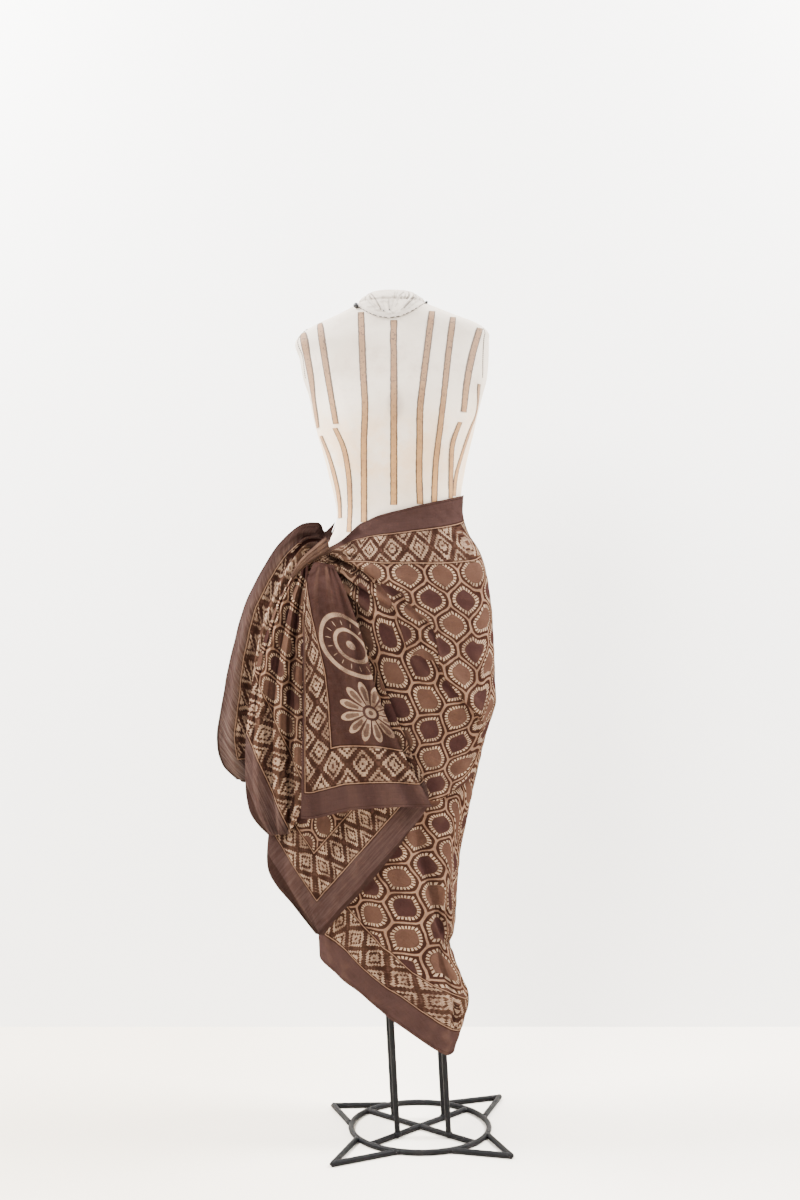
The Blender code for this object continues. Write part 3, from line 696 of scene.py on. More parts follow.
    # the rolled hem
    hem_seam = d.within(0.0040, 0.0052, 0.0006)
    colour = mixed(tree, hem_seam * 0.45, colour, INK["outline"])

    # cracked wax, uneven dye, slubs of the weave
    crackle = crack(tree, combined(tree, s0 + waver_s * 2, t0), 62.0, 0.035) * blot.ease(0.45, 0.7)
    colour = mixed(tree, crackle * 0.30, colour, INK["outline"])
    weft = noise(tree, combined(tree, s0 * 30, t0 * 640), 1.0, 3.0, 0.6)
    warp = noise(tree, combined(tree, s0 * 640, t0 * 30), 1.0, 3.0, 0.6)
    slub = noise(tree, combined(tree, s0 * 9, t0 * 420), 1.0, 3.0, 0.6)
    colour = scaled(tree, colour, 0.52 + patch * 0.18 + weft * 0.42 + warp * 0.30 + slub.ease(0.58, 0.78) * 0.16)
    if pale:
        colour = mixed(tree, pale, colour, dye(196, 166, 140))
    if sheer:
        thin = 1 - d.ease(BORDER - 0.001, BORDER + 0.001)
        if sheer > 0.5:
            thin = thin * (0.70 + (1 - e2.ease(0.04, 0.20)) * 0.7)
        bare = noise(tree, combined(tree, s0 * 14, t0 * 330), 1.0, 3.0, 0.7)
        haze = noise(tree, place, 16.0, 3.0, 0.5)
        colour = scaled(tree, colour, 1 + thin.clip() * (bare - 0.5) * (2.4 * sheer))
        colour = mixed(tree, thin * ((bare.ease(0.44, 0.58) * 0.95 + 0.05) * (0.35 + haze)).clip() * sheer, colour, dye(124, 106, 98))
        colour = mixed(tree, thin * (1 - d.ease(0.0030, 0.0060)) * 0.6, colour, INK["outline"])
    # painted shade darkens the fold troughs, and a painted highlight lightens the ridges, which are also made a little
    # smoother
    colour = mixed(tree, (ridge * (0.35 + ink * 0.65)) * 0.12, colour, dye(200, 156, 122))
    colour = mixed(tree, trough_shade * 0.80, colour, dye(30, 15, 12))
    tree.links.new(colour, shader.inputs["Base Color"])
    rough = 0.46 - ridge * 0.08 + (blot - 0.5) * 0.10 + (weft - 0.5) * 0.12
    tree.links.new(rough.out, shader.inputs["Roughness"])
    shader.inputs["Specular IOR Level"].default_value = 0.0
    shader.inputs["Sheen Weight"].default_value = 0.0
    shader.inputs["Sheen Roughness"].default_value = 0.45
    shader.inputs["Sheen Tint"].default_value = srgb(214, 190, 176)
    crumple = noise(tree, object_vector(tree), 34.0, 4.0, 0.6, 0.6)
    bump(tree, shader, (crumple, 0.5, 0.009), (weft + warp * 0.7 + slub, 0.35, 0.0006), (hem_seam * -1.0, 0.5, 0.001))
    return made


# ---------------------------------------------------------------- meshes
def mesh_object(name, points, faces, material, node, slot, uvs=None, flat=False):
    """A shown piece that stands for a CAD node. uvs is a dict of UV map name to one pair for each point."""
    mesh = bpy.data.meshes.new(name)
    mesh.from_pydata([tuple(map(float, p)) for p in points], [], faces)
    for map_name, pairs in (uvs or {}).items():
        layer = mesh.uv_layers.new(name=map_name)
        index = np.empty(len(mesh.loops), np.int32)
        mesh.loops.foreach_get("vertex_index", index)
        layer.data.foreach_set("uv", np.ascontiguousarray(np.asarray(pairs, np.float32)[index]).ravel())
    mesh.polygons.foreach_set("use_smooth", [not flat] * len(mesh.polygons))
    mesh.materials.append(material)
    mesh.update()
    made = bpy.data.objects.new(name, mesh)
    bpy.context.scene.collection.objects.link(made)
    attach(made, "root")
    if node:
        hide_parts(node)
    return made


def grid_faces(rows, cols, closed=False):
    wrap = cols if closed else cols - 1
    i, j = np.meshgrid(np.arange(rows - 1), np.arange(wrap), indexing="ij")
    k = (j + 1) % cols
    quads = np.stack([i * cols + j, (i + 1) * cols + j, (i + 1) * cols + k, i * cols + k], axis=-1)
    return [tuple(int(v) for v in q) for q in quads.reshape(-1, 4)]


def spread(grid, across_rows, across_cols):
    """The grid with each point the mean of those near it."""
    for axis, reach in ((0, across_rows), (1, across_cols)):
        if reach < 1:
            continue
        pad = [(0, 0)] * 3
        pad[axis] = (reach, reach)
        wide = np.pad(grid, pad, mode="reflect", reflect_type="odd")
        total = np.cumsum(np.concatenate([np.zeros_like(np.take(wide, [0], axis)), wide], axis), axis)
        count = grid.shape[axis]
        grid = (np.take(total, np.arange(2 * reach + 1, 2 * reach + 1 + count), axis) - np.take(total, np.arange(count), axis)) / (2 * reach + 1)
    return grid


def relief(grid):
    """How deep each point lies in a trough, and how high on a ridge, from 0 to 1."""
    total = np.zeros(grid.shape[:2])
    for reach in (0.007, 0.018):
        step = [float(np.median(np.linalg.norm(np.diff(grid, axis=axis), axis=2))) for axis in (0, 1)]
        near = [int(min(max(round(reach / max(gap, 1e-5)), 1), grid.shape[axis] // 3)) for axis, gap in enumerate(step)]
        even = spread(spread(grid, *near), *near)
        normal = np.cross(np.gradient(even, axis=0), np.gradient(even, axis=1))
        normal /= np.maximum(np.linalg.norm(normal, axis=2, keepdims=True), 1e-12)
        if ((even - np.array([-0.04, 0.0, 0.0])) * normal)[..., :2].sum() < 0:
            normal = -normal
        total = total + ((grid - even) * normal).sum(axis=2) / (reach * 0.16)
    return np.stack([np.clip(-total, 0, 1), np.clip(total, 0, 1)], axis=-1)


def cloth_object(name, grid, maps, material, node, shade=None, deep=1.0):
    rows, cols = grid.shape[:2]
    # relief gives painted shade for the troughs and a painted highlight for the ridges; deep scales them, and shade
    # adds painted shade of its own
    folds = ease(0.22, 1.05, relief(grid)) * deep
    if shade is not None:
        folds[..., 0] = np.maximum(folds[..., 0], shade)
    maps = dict(maps, relief=folds)
    return mesh_object(
        name, grid.reshape(-1, 3), grid_faces(rows, cols), material, node, "batik",
        {key: pairs.reshape(-1, 2) for key, pairs in maps.items()},
    )


def arc(grid, axis):
    """Length along a grid's rows or columns from their first point."""
    length = np.linalg.norm(np.diff(grid, axis=axis), axis=2)
    total = np.cumsum(length, axis=axis)
    pad = [(0, 0), (0, 0)]
    pad[axis] = (1, 0)
    return np.pad(total, pad)


# Where the bands end on the wrap, by the turn, and the heights of the three folds that
# hide cloth: fold_1 and fold_2 fan out from the tie, and fold_3 is lower down.
WRAP_LINES = columns(
    "turn band_1 band_2 fold_1 fold_2 fold_3",
    [
        (-82, 1.000, 0.440, 1.050, 1.060, 0.900),
        (-57, 1.010, 0.440, 1.032, 1.042, 0.860),
        (-34, 1.018, 0.430, 1.005, 1.018, 0.800),
        (-16, 1.018, 0.384, 0.984, 0.994, 0.720),
        (-8, 1.016, 0.366, 0.972, 0.980, 0.690),
        (-1, 1.016, 0.350, 0.930, 0.970, 0.668),
        (4, 1.016, 0.341, 0.866, 0.951, 0.652),
        (10, 1.016, 0.328, 0.858, 0.929, 0.634),
        (15.5, 1.016, 0.315, 0.848, 0.914, 0.621),
        (20, 1.016, 0.305, 0.846, 0.886, 0.612),
        (22, 1.016, 0.302, 0.836, 0.838, 0.609),
        (27, 1.016, 0.294, 0.812, 0.814, 0.605),
        (38, 1.018, 0.277, 0.777, 0.778, 0.610),
        (50, 1.020, 0.264, 0.752, 0.753, 0.622),
        (58, 1.022, 0.256, 0.738, 0.739, 0.634),
        (70, 1.027, 0.246, 0.720, 0.721, 0.648),
        (90, 1.034, 0.252, 0.700, 0.701, 0.660),
        (135, 1.032, 0.296, 0.690, 0.691, 0.660),
        (180, 1.026, 0.350, 0.700, 0.701, 0.660),
        (225, 1.018, 0.398, 0.720, 0.721, 0.680),
        (260, 1.002, 0.420, 0.740, 0.741, 0.700),
        (300, 0.930, 0.392, 0.720, 0.721, 0.680),
        (335, 0.880, 0.350, 0.700, 0.701, 0.660),
    ],
)
# The folds as steps: how far the upper side stands out at the fold, over what height
# that dies away, and the turns between which the fold runs.
FOLD_STEPS = [("fold_1", 0.0034, 0.022, -58, 24), ("fold_2", 0.0042, 0.026, -58, 66), ("fold_3", 0.0040, 0.024, -20, 84)]


# ---------------------------------------------------------------- the wrap
def wrap_point(turn, z):
    """Points of the wrap at turns (degrees) and heights, folds included."""
    left, right = smooth(WRAP, "z", "left", z), smooth(WRAP, "z", "right", z)
    front, back = smooth(WRAP, "z", "front", z), smooth(WRAP, "z", "back", z)
    angle = np.radians(turn)
    s, c = np.sin(angle), np.cos(angle)
    ramp = np.clip((turn - 225.0) / 60.0, 0, 1)
    out = -UNDERLAP_STEP * ramp * ramp * (3 - 2 * ramp)
    for ta, za, tb, zb, push, width, sharp in zip(*(WRAP_FOLDS[k] for k in ("turn_a", "z_a", "turn_b", "z_b", "out", "width", "sharp"))):
        ax, az, bx, bz = ta * TURN_SCALE, za, tb * TURN_SCALE, zb
        px, pz = turn * TURN_SCALE, z
        length = math.hypot(bx - ax, bz - az)
        ux, uz = (bx - ax) / length, (bz - az) / length
        t = ((px - ax) * ux + (pz - az) * uz) / length
        off = (px - ax) * uz - (pz - az) * ux
        fade = np.clip(t, 0, 1)
        fade = np.where((t > -0.2) & (t < 1.2), np.sin(np.pi * (fade * 0.86 + 0.07)) ** 0.7, 0.0)
        fade = fade * np.exp(-np.minimum(t, 0) ** 2 * 200) * np.exp(-np.maximum(t - 1, 0) ** 2 * 200)
        wide = np.where(off > 0, width / sharp, width)
        out = out + push * fade * np.exp(-0.5 * (off / wide) ** 2)
    gather = 1.0 + 1.1 * np.exp(-((turn + 42) / 22) ** 2 - ((z - 1.0) / 0.07) ** 2)
    out = out * gather
    for name, rise, run, first, last in FOLD_STEPS:
        above = z - smooth(WRAP_LINES, "turn", name, turn)
        out = out + rise * ease(first, first + 16, turn) * (1 - ease(last - 16, last, turn)) * ease(-0.002, 0.002, above) * np.exp(-np.maximum(above, 0) / run)
        out = out - 0.35 * rise * ease(first, first + 16, turn) * (1 - ease(last - 16, last, turn)) * np.exp(-0.5 * ((above + 0.006) / 0.005) ** 2)
    near = ((turn - TIE["turn"]) * TURN_SCALE) ** 2 + (z - TIE["z"]) ** 2
    out = out + TIE["out"] * np.exp(-0.5 * near / TIE["reach"] ** 2)
    out = out + 0.0005 * ripple(turn * TURN_SCALE * 0.9 + z * 0.5, z * 0.5 - turn * TURN_SCALE * 0.4, 6, 0.034)
    out = out + 0.0016 * ripple(turn * TURN_SCALE, z * 0.55, 5, 0.085) * ease(-1.0, 0.2, -z + 0.2)
    half = (right - left) / 2 + out
    depth = np.where(c > 0, front, back) + out
    over_form = z > FORM_BOTTOM - 0.012
    form_depth = np.where(c > 0, smooth(FORM, "z", "front", z), smooth(FORM, "z", "back", z))
    half = np.where(over_form, np.maximum(half, smooth(FORM, "z", "half", z) + CLEAR), half)
    depth = np.where(over_form, np.maximum(depth, form_depth + CLEAR), depth)
    x = (left + right) / 2 + half * np.sign(s) * np.abs(s) ** (2 / FORM_SQUARE)
    y = -depth * np.sign(c) * np.abs(c) ** (2 / FORM_SQUARE)
    return np.stack([x, y, z + 0 * x], axis=-1)


# How the pattern lies in each stretch of the front: s and t in the flat cloth as
# quadratics in a = turn / 50 and b = (height - middle) / 0.2.
STRETCHES = columns(
    "middle s_1 s_a s_b s_aa s_ab s_bb t_1 t_a t_b t_aa t_ab t_bb",
    [
        (0.85, -0.0772, 0.1750, 0.0338, -0.0300, -0.0112, 0.0072, 0.2848, -0.0289, -0.2212, 0.0076, 0.0289, 0.0067),
        (0.75, -0.0593, 0.1371, -0.0858, -0.0138, 0.0040, 0.0060, 0.4357, -0.1099, -0.1737, 0.0385, -0.0359, 0.0159),
        (0.40, 0.1215, 0.0836, -0.1253, -0.0186, 0.0472, 0.0405, 0.8751, -0.0678, -0.1670, 0.0154, 0.0033, -0.0394),
    ],
)
# Where a thread that runs up the cloth lies at the right side, by height.
SIDE_THREAD = columns("z s", [(1.12, 0.096), (0.95, 0.088), (0.78, 0.080), (0.62, 0.146), (0.40, 0.205), (0.20, 0.262)])


def stretch_place(which, turn, z):
    """The place in the flat cloth of points in one stretch, running on evenly round the sides and back."""
    row = {k: STRETCHES[k][which] for k in STRETCHES}
    a = np.clip(turn, -60, 64) / 50
    b = (z - row["middle"]) / 0.2
    terms = (1, a, b, a * a, a * b, b * b)
    s, t = (sum(row[f"{k}_{name}"] * term for name, term in zip(("1", "a", "b", "aa", "ab", "bb"), terms)) for k in "st")
    lines = {k: smooth(WRAP_LINES, "turn", k, turn) for k in ("band_1", "band_2")}
    round_t = BAND + (CLOTH_HEIGHT - 2 * BAND) * (lines["band_1"] - z) / (lines["band_1"] - lines["band_2"])
    round_s = smooth(SIDE_THREAD, "z", "s", z) + TURN_SCALE * (turn - 60)
    far = ease(50, 70, turn)
    return np.stack([s * (1 - far) + round_s * far, t * (1 - far) + round_t * far], axis=-1)


def wrap_maps(turn, z, top, hem):
    """The UV maps of the wrap: the three stretches, which side of the folds a point is, and how far the hems are."""
    line = {k: smooth(WRAP_LINES, "turn", k, turn) for k in ("band_1", "band_2", "fold_1", "fold_2", "fold_3")}
    upper = BAND * (top - z) / np.maximum(top - line["band_1"], 1e-4)
    lower = BAND * (z - hem) / np.maximum(line["band_2"] - hem, 1e-4)
    d = np.minimum(upper, lower)
    return {
        "cloth": stretch_place(0, turn, z),
        "cloth_middle": stretch_place(1, turn, z),
        "cloth_lower": stretch_place(2, turn, z),
        "folds": np.stack([z - line["fold_2"], z - line["fold_1"]], axis=-1),
        "fold_low": np.stack([z - line["fold_3"], ease(50, 70, turn)], axis=-1),
        "edge": np.stack([np.ones_like(d), d], axis=-1),
    }


def wrap_object(material):
    turn = np.concatenate([np.linspace(-82, 100, 262, endpoint=False), np.linspace(100, 335, 102)])
    rows = 256
    v = np.linspace(0, 1, rows)[:, None]
    top = smooth(WRAP_EDGES, "turn", "top", turn)[None]
    hem = smooth(WRAP_EDGES, "turn", "hem", turn)[None]
    z = top * (1 - v) + hem * v
    turns = np.broadcast_to(turn, z.shape)
    grid = wrap_point(turns, z)
    maps = wrap_maps(turns, z, np.broadcast_to(top, z.shape), np.broadcast_to(hem, z.shape))
    # painted shade: the fold shading is deepened round the tie and low on the right, and a soft painted shadow lies
    # just right of the tie
    gathered = 0.30 + 0.85 * np.exp(-((turns + 42) / 24) ** 2 - ((z - 1.00) / 0.09) ** 2)
    lower = 0.35 * ease(20, 50, turns) * (1 - ease(0.30, 0.42, z))
    return cloth_object("wrap_cloth", grid, maps, material, "sarong_wrap", shade=0.42 * np.exp(-((turns + 38) / 12) ** 2 - ((z - 1.005) / 0.045) ** 2), deep=(gathered + lower)[..., None])


# ------------------------------------------------------- the hanging stretches
def tail_grid(table, pleats, rows, cols, uneven, seed):
    """A hanging stretch between its two edges, swelling and pleated."""
    table = dict(table, row=np.arange(len(table["lx"]), dtype=float))
    at = np.linspace(0, len(table["lx"]) - 1, rows)
    left = np.stack([smooth(table, "row", k, at) for k in ("lx", "ly", "lz")], axis=-1)
    right = np.stack([smooth(table, "row", k, at) for k in ("rx", "ry", "rz")], axis=-1)
    swell = smooth(table, "row", "swell", at)
    u = np.linspace(0, 1, cols)
    v = np.linspace(0, 1, rows)
    grid = left[:, None] * (1 - u)[None, :, None] + right[:, None] * u[None, :, None]
    across = right - left
    out = np.stack([across[:, 1], -across[:, 0], 0 * across[:, 0]], axis=-1)
    out /= np.linalg.norm(out, axis=1, keepdims=True)
    push = swell[:, None] * (4 * u * (1 - u))[None]
    wide = np.linalg.norm(across, axis=1)
    for top, foot, a, b, width, start, end in zip(*(pleats[k] for k in PLEAT_NAMES.split())):
        middle = top + (foot - top) * v
        deep = (a + (b - a) * v) * np.minimum(1, wide / 0.05)
        deep = deep * ease(0.0, 0.045, v)
        if start > 0:
            deep = deep * ease(start, start + 0.15, v)
        if end < 1:
            deep = deep * (1 - ease(end - 0.15, end, v))
        push = push + deep[:, None] * np.exp(-0.5 * ((u[None] - middle[:, None]) / width) ** 2)
    length = np.cumsum(np.concatenate([[0], np.linalg.norm(np.diff((left + right) / 2, axis=0), axis=1)]))
    push = push + uneven * ripple(u[None] * wide[:, None], length[:, None] * 0.35, seed, 0.05) * np.minimum(1, wide / 0.06)[:, None]
    return grid + out[:, None] * push[..., None]


def before_wrap(grid, space):
    """The grid with what lies nearer the wrap than `space` brought in front of it."""
    x, y, z = grid[..., 0], grid[..., 1], grid[..., 2]
    left, right = smooth(WRAP, "z", "left", z), smooth(WRAP, "z", "right", z)
    across = np.clip((x - (left + right) / 2) / ((right - left) / 2), -1, 1)
    turn = np.degrees(np.arcsin(np.sign(across) * np.abs(across) ** (FORM_SQUARE / 2)))
    limit = wrap_point(turn, z)[..., 1] - space
    over = (y - limit) / SOFTNESS
    y = y - SOFTNESS * np.where(over > 20, over, np.log1p(np.exp(np.minimum(over, 20))))
    return np.stack([x, y, z], axis=-1)


def calmed(grid, weight, reach):
    """The grid with its small pleats eased flat where the weight is 1."""
    kernel = np.hanning(2 * reach + 3)[1:-1]
    kernel /= kernel.sum()
    y = grid[..., 1]
    padded = np.pad(y, ((0, 0), (reach, reach)), mode="edge")
    soft = sum(k * padded[:, i:i + y.shape[1]] for i, k in enumerate(kernel))
    return np.stack([grid[..., 0], y + (soft - y) * weight, grid[..., 2]], axis=-1)


# The inner line of the front tail's left band, by height.
FRONT_LINE = columns("z x", [(1.020, -0.1985), (1.000, -0.1980), (0.927, -0.1866), (0.834, -0.1646), (0.703, -0.1528), (0.575, -0.1470)])


def make_tail_front(material):
    grid = before_wrap(tail_grid(TAIL_FRONT, PLEATS_FRONT, 300, 160, 0.0008, 11), 0.022)
    down, across = np.meshgrid(np.linspace(0, 1, grid.shape[0]), np.linspace(0, 1, grid.shape[1]), indexing="ij")
    rise = 0.0105 * ease(0.10, 0.42, across) * (1 - 0.45 * ease(0.70, 1.0, across)) - 0.002 * np.exp(-((across - 0.08) / 0.06) ** 2)
    grid[..., 2] += rise * ease(0.2, 0.95, down)
    x, z = grid[..., 0], grid[..., 2]
    inner = smooth(FRONT_LINE, "z", "x", z)
    outer = -0.1968 - 0.010 * ease(0.88, 1.0, z)
    inner = np.maximum(inner, outer + 0.002)
    s = np.where(x < inner, BORDER + (BAND - BORDER) * (x - outer) / (inner - outer), BAND + (x - inner))
    length = arc(grid, 0)
    t = length[-1:] - length
    t = np.where(t > BORDER, BORDER + (t - BORDER) * 0.93, t)
    cloth = np.stack([s, t], axis=-1)
    return cloth_object("front_tail_cloth", grid, {"cloth": cloth, "edge": np.stack([np.maximum(s, 0.012), t], axis=-1)}, material, "sarong_tail_front", deep=(0.22 + 0.6 * (1 - ease(0.05, 0.22, down)))[..., None])


GATHERED = 1.45         # cloth taken up by the small pleats along the corner's left side


def make_tail_corner(material):
    grid = before_wrap(tail_grid(TAIL_CORNER, PLEATS_CORNER, 320, 160, 0.0008, 12), 0.006)
    x, z = grid[..., 0], grid[..., 2]
    right = ((x - 0.0071) * -0.755 + (z - 0.5814) * 0.656) * 1.044
    left = ((x + 0.2643) * 0.834 + (z - 0.5026) * 0.552) * GATHERED
    cloth = np.stack([left, right], axis=-1)
    grid = calmed(grid, 0.85 * (1 - ease(BORDER, BORDER + 0.015, left)), 24)
    return cloth_object("corner_tail_cloth", grid, {"cloth": cloth, "edge": np.maximum(cloth, 0.001)}, material, "sarong_tail_corner", deep=0.22)


def make_tail_outer(material):
    grid = before_wrap(tail_grid(TAIL_OUTER, PLEATS_OUTER, 320, 130, 0.0010, 13), 0.006)
    along, across = arc(grid, 0), arc(grid, 1)
    foot = along[-1:] - along
    cloth = np.stack([across, along + 0.013], axis=-1)
    length_to = along.mean(axis=1, keepdims=True)
    wide = across[:, -1:]
    # painted shade under the knot's hood, beside it on the right, and down the narrow left strip, darkest near the top
    hood = (1 - ease(0.055, 0.095, length_to)) * (1 - ease(0.45, 0.85, across / wide))
    under = np.exp(-((length_to - 0.045) / 0.025) ** 2) * ease(0.50, 0.75, across / wide)
    plain_top = 1 - ease(0.040, 0.075, length_to)
    e = across * (1 - plain_top) + np.minimum(across, 0.014) * plain_top
    strip = (0.66 * (1 - ease(0.09, 0.24, length_to)) + 0.16) * (1 - ease(0.030, 0.040, across))
    shade = np.clip(np.maximum(hood + under, strip), 0, 1)
    return cloth_object("outer_tail_cloth", grid, {"cloth": cloth, "edge": np.stack([e, foot], axis=-1)}, material, "sarong_tail_outer", shade, ((0.55 + 1.2 * (1 - ease(0.05, 0.14, length_to))) * (0.25 + 0.75 * ease(0.030, 0.042, across)))[..., None])


def make_tail_inner(material):
    grid = before_wrap(tail_grid(TAIL_INNER, PLEATS_INNER, 320, 170, 0.0008, 14), 0.012)
    x, z = grid[..., 0], grid[..., 2]
    e = BAND + ((x + 0.2858) * 0.908 + (z - 0.8194) * 0.418) * 1.045
    e = np.where(e > BAND, BAND + (e - BAND) * 1.4, e)
    along = (-(x + 0.2858) * 0.418 + (z - 0.8194) * 0.908) * 1.045
    cloth = np.stack([along, e], axis=-1)
    grid = calmed(grid, 0.85 * (1 - ease(BORDER, BORDER + 0.015, e)), 24)
    return cloth_object("inner_tail_cloth", grid, {"cloth": cloth, "edge": np.stack([np.ones_like(e), np.maximum(e, 0.001)], axis=-1)}, material, "sarong_tail_inner", deep=(0.16 + 0.50 * ease(BORDER - 0.002, BORDER + 0.006, e))[..., None])


def make_knot_band(material):
    grid = before_wrap(tail_grid(KNOT_BAND, PLEATS_KNOT, 120, 60, 0.0006, 15), 0.020)
    along, across = arc(grid, 0), arc(grid, 1)
    cloth = np.stack([across * 1.2 + 0.3, along + 0.3], axis=-1)
    # painted shade over the knot band, darkest along its lower side
    return cloth_object("knot_cloth", grid, {"cloth": cloth, "edge": np.stack([np.maximum(BORDER + 0.0006 - 1.1 * (across[:, -1:] - across), 0.010), 0.3 + along], axis=-1)}, material, "sarong_knot_band", 0.38 + 0.40 * ease(0.62, 0.90, across / across[:, -1:]), 1.9)


silk = batik("batik_silk", folded=True)
wrap = wrap_object(silk)
tail_front = make_tail_front(batik("batik_silk_corner", panel=True))
tail_corner = make_tail_corner(batik("batik_silk_reverse", sheer=0.20))
tail_outer = make_tail_outer(batik("batik_silk_outer", sheer=0.68))
tail_inner = make_tail_inner(batik("batik_silk_inner", sheer=0.36))
knot = make_knot_band(batik("batik_silk_knot", pale=0.05))


def flat_cut(obj):
    """The cut of a piece as its cloth map lays it out: width, length and area."""
    mesh = obj.data
    pairs = np.empty(len(mesh.loops) * 2, np.float32)
    mesh.uv_layers["cloth"].data.foreach_get("uv", pairs)
    q = pairs.reshape(-1, 4, 2).astype(float)
    p, r = q[:, 2] - q[:, 0], q[:, 3] - q[:, 1]
    wide, long = q.reshape(-1, 2).max(axis=0) - q.reshape(-1, 2).min(axis=0)
    return round(float(wide), 3), round(float(long), 3), round(float(np.abs(p[:, 0] * r[:, 1] - p[:, 1] * r[:, 0]).sum() / 2), 4)


# The wrap goes once round and a little over; its folds hide the rest of the height.
cuts = {}
for piece, held, on in (
    (tail_front, "hung", ["sarong_knot_band"]),
    (tail_corner, "hung", ["sarong_knot_band"]),
    (tail_outer, "hung", ["sarong_knot_band"]),
    (tail_inner, "hung", ["sarong_knot_band"]),
    (knot, "draped", ["sarong_wrap"]),
):
    wide, long, area = cuts[piece.name] = flat_cut(piece)


# ------------------------------------------------------------- the dress form
def canvas_material(name="canvas", creased=False):
    made, tree, shader = start_material(name)
    where = object_vector(tree)
    split = tree.nodes.new("ShaderNodeSeparateXYZ")
    tree.links.new(where, split.inputs[0])
    x, z = Field(tree, split.outputs[0]), Field(tree, split.outputs[2])
    cloud = noise(tree, where, 7.0, 3.0, 0.55)
    mottle = noise(tree, where, 45.0, 4.0, 0.65)
    fibre = noise(tree, where, 900.0, 2.0, 0.6)
    weave = ((x * 5200.0).sin() * 0.5 + (z * 5200.0).sin() * 0.5)
    colour = mixed(tree, cloud.ease(0.35, 0.70), srgb(206, 194, 180), srgb(193, 178, 162))
    colour = mixed(tree, mottle.ease(0.50, 0.72) * 0.45, colour, srgb(188, 171, 155))
    stain = noise(tree, where, 16.0, 5.0, 0.7)
    colour = mixed(tree, stain.ease(0.52, 0.70) * 0.30, colour, srgb(160, 142, 126))
    warm = z.within(1.14, 1.27, 0.10) * stain.ease(0.34, 0.60)
    colour = mixed(tree, warm * 0.60, colour, srgb(206, 172, 130))
    # painted shade: darker over the shoulders, above about 1.36 m
    colour = mixed(tree, z.ease(1.36, 1.46) * 0.40, colour, srgb(176, 166, 155))
    blotch_x, blotch_z = x + 0.044, z - 1.287
    blotch = 1 - (blotch_x * blotch_x * 3.0 + blotch_z * blotch_z + (stain - 0.5) * 0.0008).ease(0.0000, 0.0010)
    colour = mixed(tree, blotch * 0.50, colour, srgb(140, 122, 114))
    # the canvas is lighter low down and darker towards the top, and on the cap it is darkened all over as painted shade
    colour = scaled(tree, colour, (1.13 - z.ease(1.24, 1.37) * 0.31) * (0.86 if creased else 1.0))
    if creased:
        # painted shade greys the whole cap and lies dark in the gathers and creases; the cap is also darker next to the
        # seam
        crease_shade, seam = uv_fields(tree, "crease_shade")
        colour = mixed(tree, mottle.ease(0.30, 0.70) * 0.35 + 0.30, colour, srgb(160, 152, 144))
        colour = mixed(tree, (crease_shade * (0.75 + stain * 0.5)).clip() * 0.92, colour, srgb(46, 39, 34))
        colour = mixed(tree, (1 - seam.ease(0.0, 0.10)) * 0.35, colour, srgb(150, 138, 128))
    colour = scaled(tree, colour, 0.96 + fibre * 0.08)
    tree.links.new(colour, shader.inputs["Base Color"])
    shader.inputs["Roughness"].default_value = 0.92
    shader.inputs["Specular IOR Level"].default_value = 0.2
    bump(tree, shader, (mottle, 0.25, 0.002), (weave * 0.5 + fibre, 0.25, 0.0004))
    return made


def tape_material():
    made, tree, shader = start_material("tape")
    u, v = uv_fields(tree, "tape")
    where = object_vector(tree)
    split = tree.nodes.new("ShaderNodeSeparateXYZ")
    tree.links.new(where, split.inputs[0])
    z = Field(tree, split.outputs[2])
    tone = noise(tree, where, 30.0, 3.0, 0.6)
    rib = noise(tree, combined(tree, u * 2.0, v * 900), 1.0, 2.0)
    colour = mixed(tree, (1 - z.ease(1.12, 1.40)) * 0.9, srgb(112, 84, 58), srgb(160, 117, 68))
    colour = mixed(tree, tone.ease(0.45, 0.75) * 0.5, colour, srgb(112, 76, 50))
    edge = (abs(u - 0.5) * 2).ease(0.60, 0.74)
    colour = mixed(tree, edge * (0.70 + tone * 0.6).clip(), colour, srgb(66, 50, 39))
    speck = noise(tree, where, 210.0, 3.0, 0.7)
    colour = mixed(tree, speck.ease(0.54, 0.62) * (z.ease(1.20, 1.42) * 0.65 + 0.25), colour, srgb(62, 46, 36))
    colour = scaled(tree, colour, 0.92 + rib * 0.16)
    tree.links.new(colour, shader.inputs["Base Color"])
    shader.inputs["Roughness"].default_value = 0.85
    bump(tree, shader, (rib, 0.3, 0.0005))
    return made


canvas = canvas_material()
cap_cloth = canvas_material("cap_canvas", True)
tape = tape_material()


def form_point(turn, z, out=0.0):
    middle, half = smooth(FORM, "z", "middle", z), smooth(FORM, "z", "half", z) + out
    angle = np.radians(turn)
    s, c = np.sin(angle), np.cos(angle)
    depth = np.where(c > 0, smooth(FORM, "z", "front", z), smooth(FORM, "z", "back", z)) + out
    return np.stack([
        middle + half * np.sign(s) * np.abs(s) ** (2 / FORM_SQUARE),
        -depth * np.sign(c) * np.abs(c) ** (2 / FORM_SQUARE),
        z + 0 * s,
    ], axis=-1)


def form_object():
    levels = np.concatenate([np.linspace(FORM_BOTTOM, 0.77, 10), np.linspace(0.78, 1.39, 110), np.linspace(1.395, 1.4838, 46)])
    turn = np.linspace(0, 360, 220, endpoint=False)
    t, z = np.meshgrid(turn, levels)
    grid = form_point(t, z, 0.0004 * ripple(np.radians(t) * 0.15, z, 3, 0.11))
    rows, cols = t.shape
    points = list(grid.reshape(-1, 3)) + [grid[0].mean(axis=0), grid[-1].mean(axis=0)]
    faces = [tuple(reversed(f)) for f in grid_faces(rows, cols, True)]
    low, high, last = rows * cols, rows * cols + 1, (rows - 1) * cols
    faces += [(low, (j + 1) % cols, j) for j in range(cols)]
    faces += [(high, last + j, last + (j + 1) % cols) for j in range(cols)]
    return mesh_object("form_canvas", points, faces, canvas, "form_torso", "canvas")


form_object()

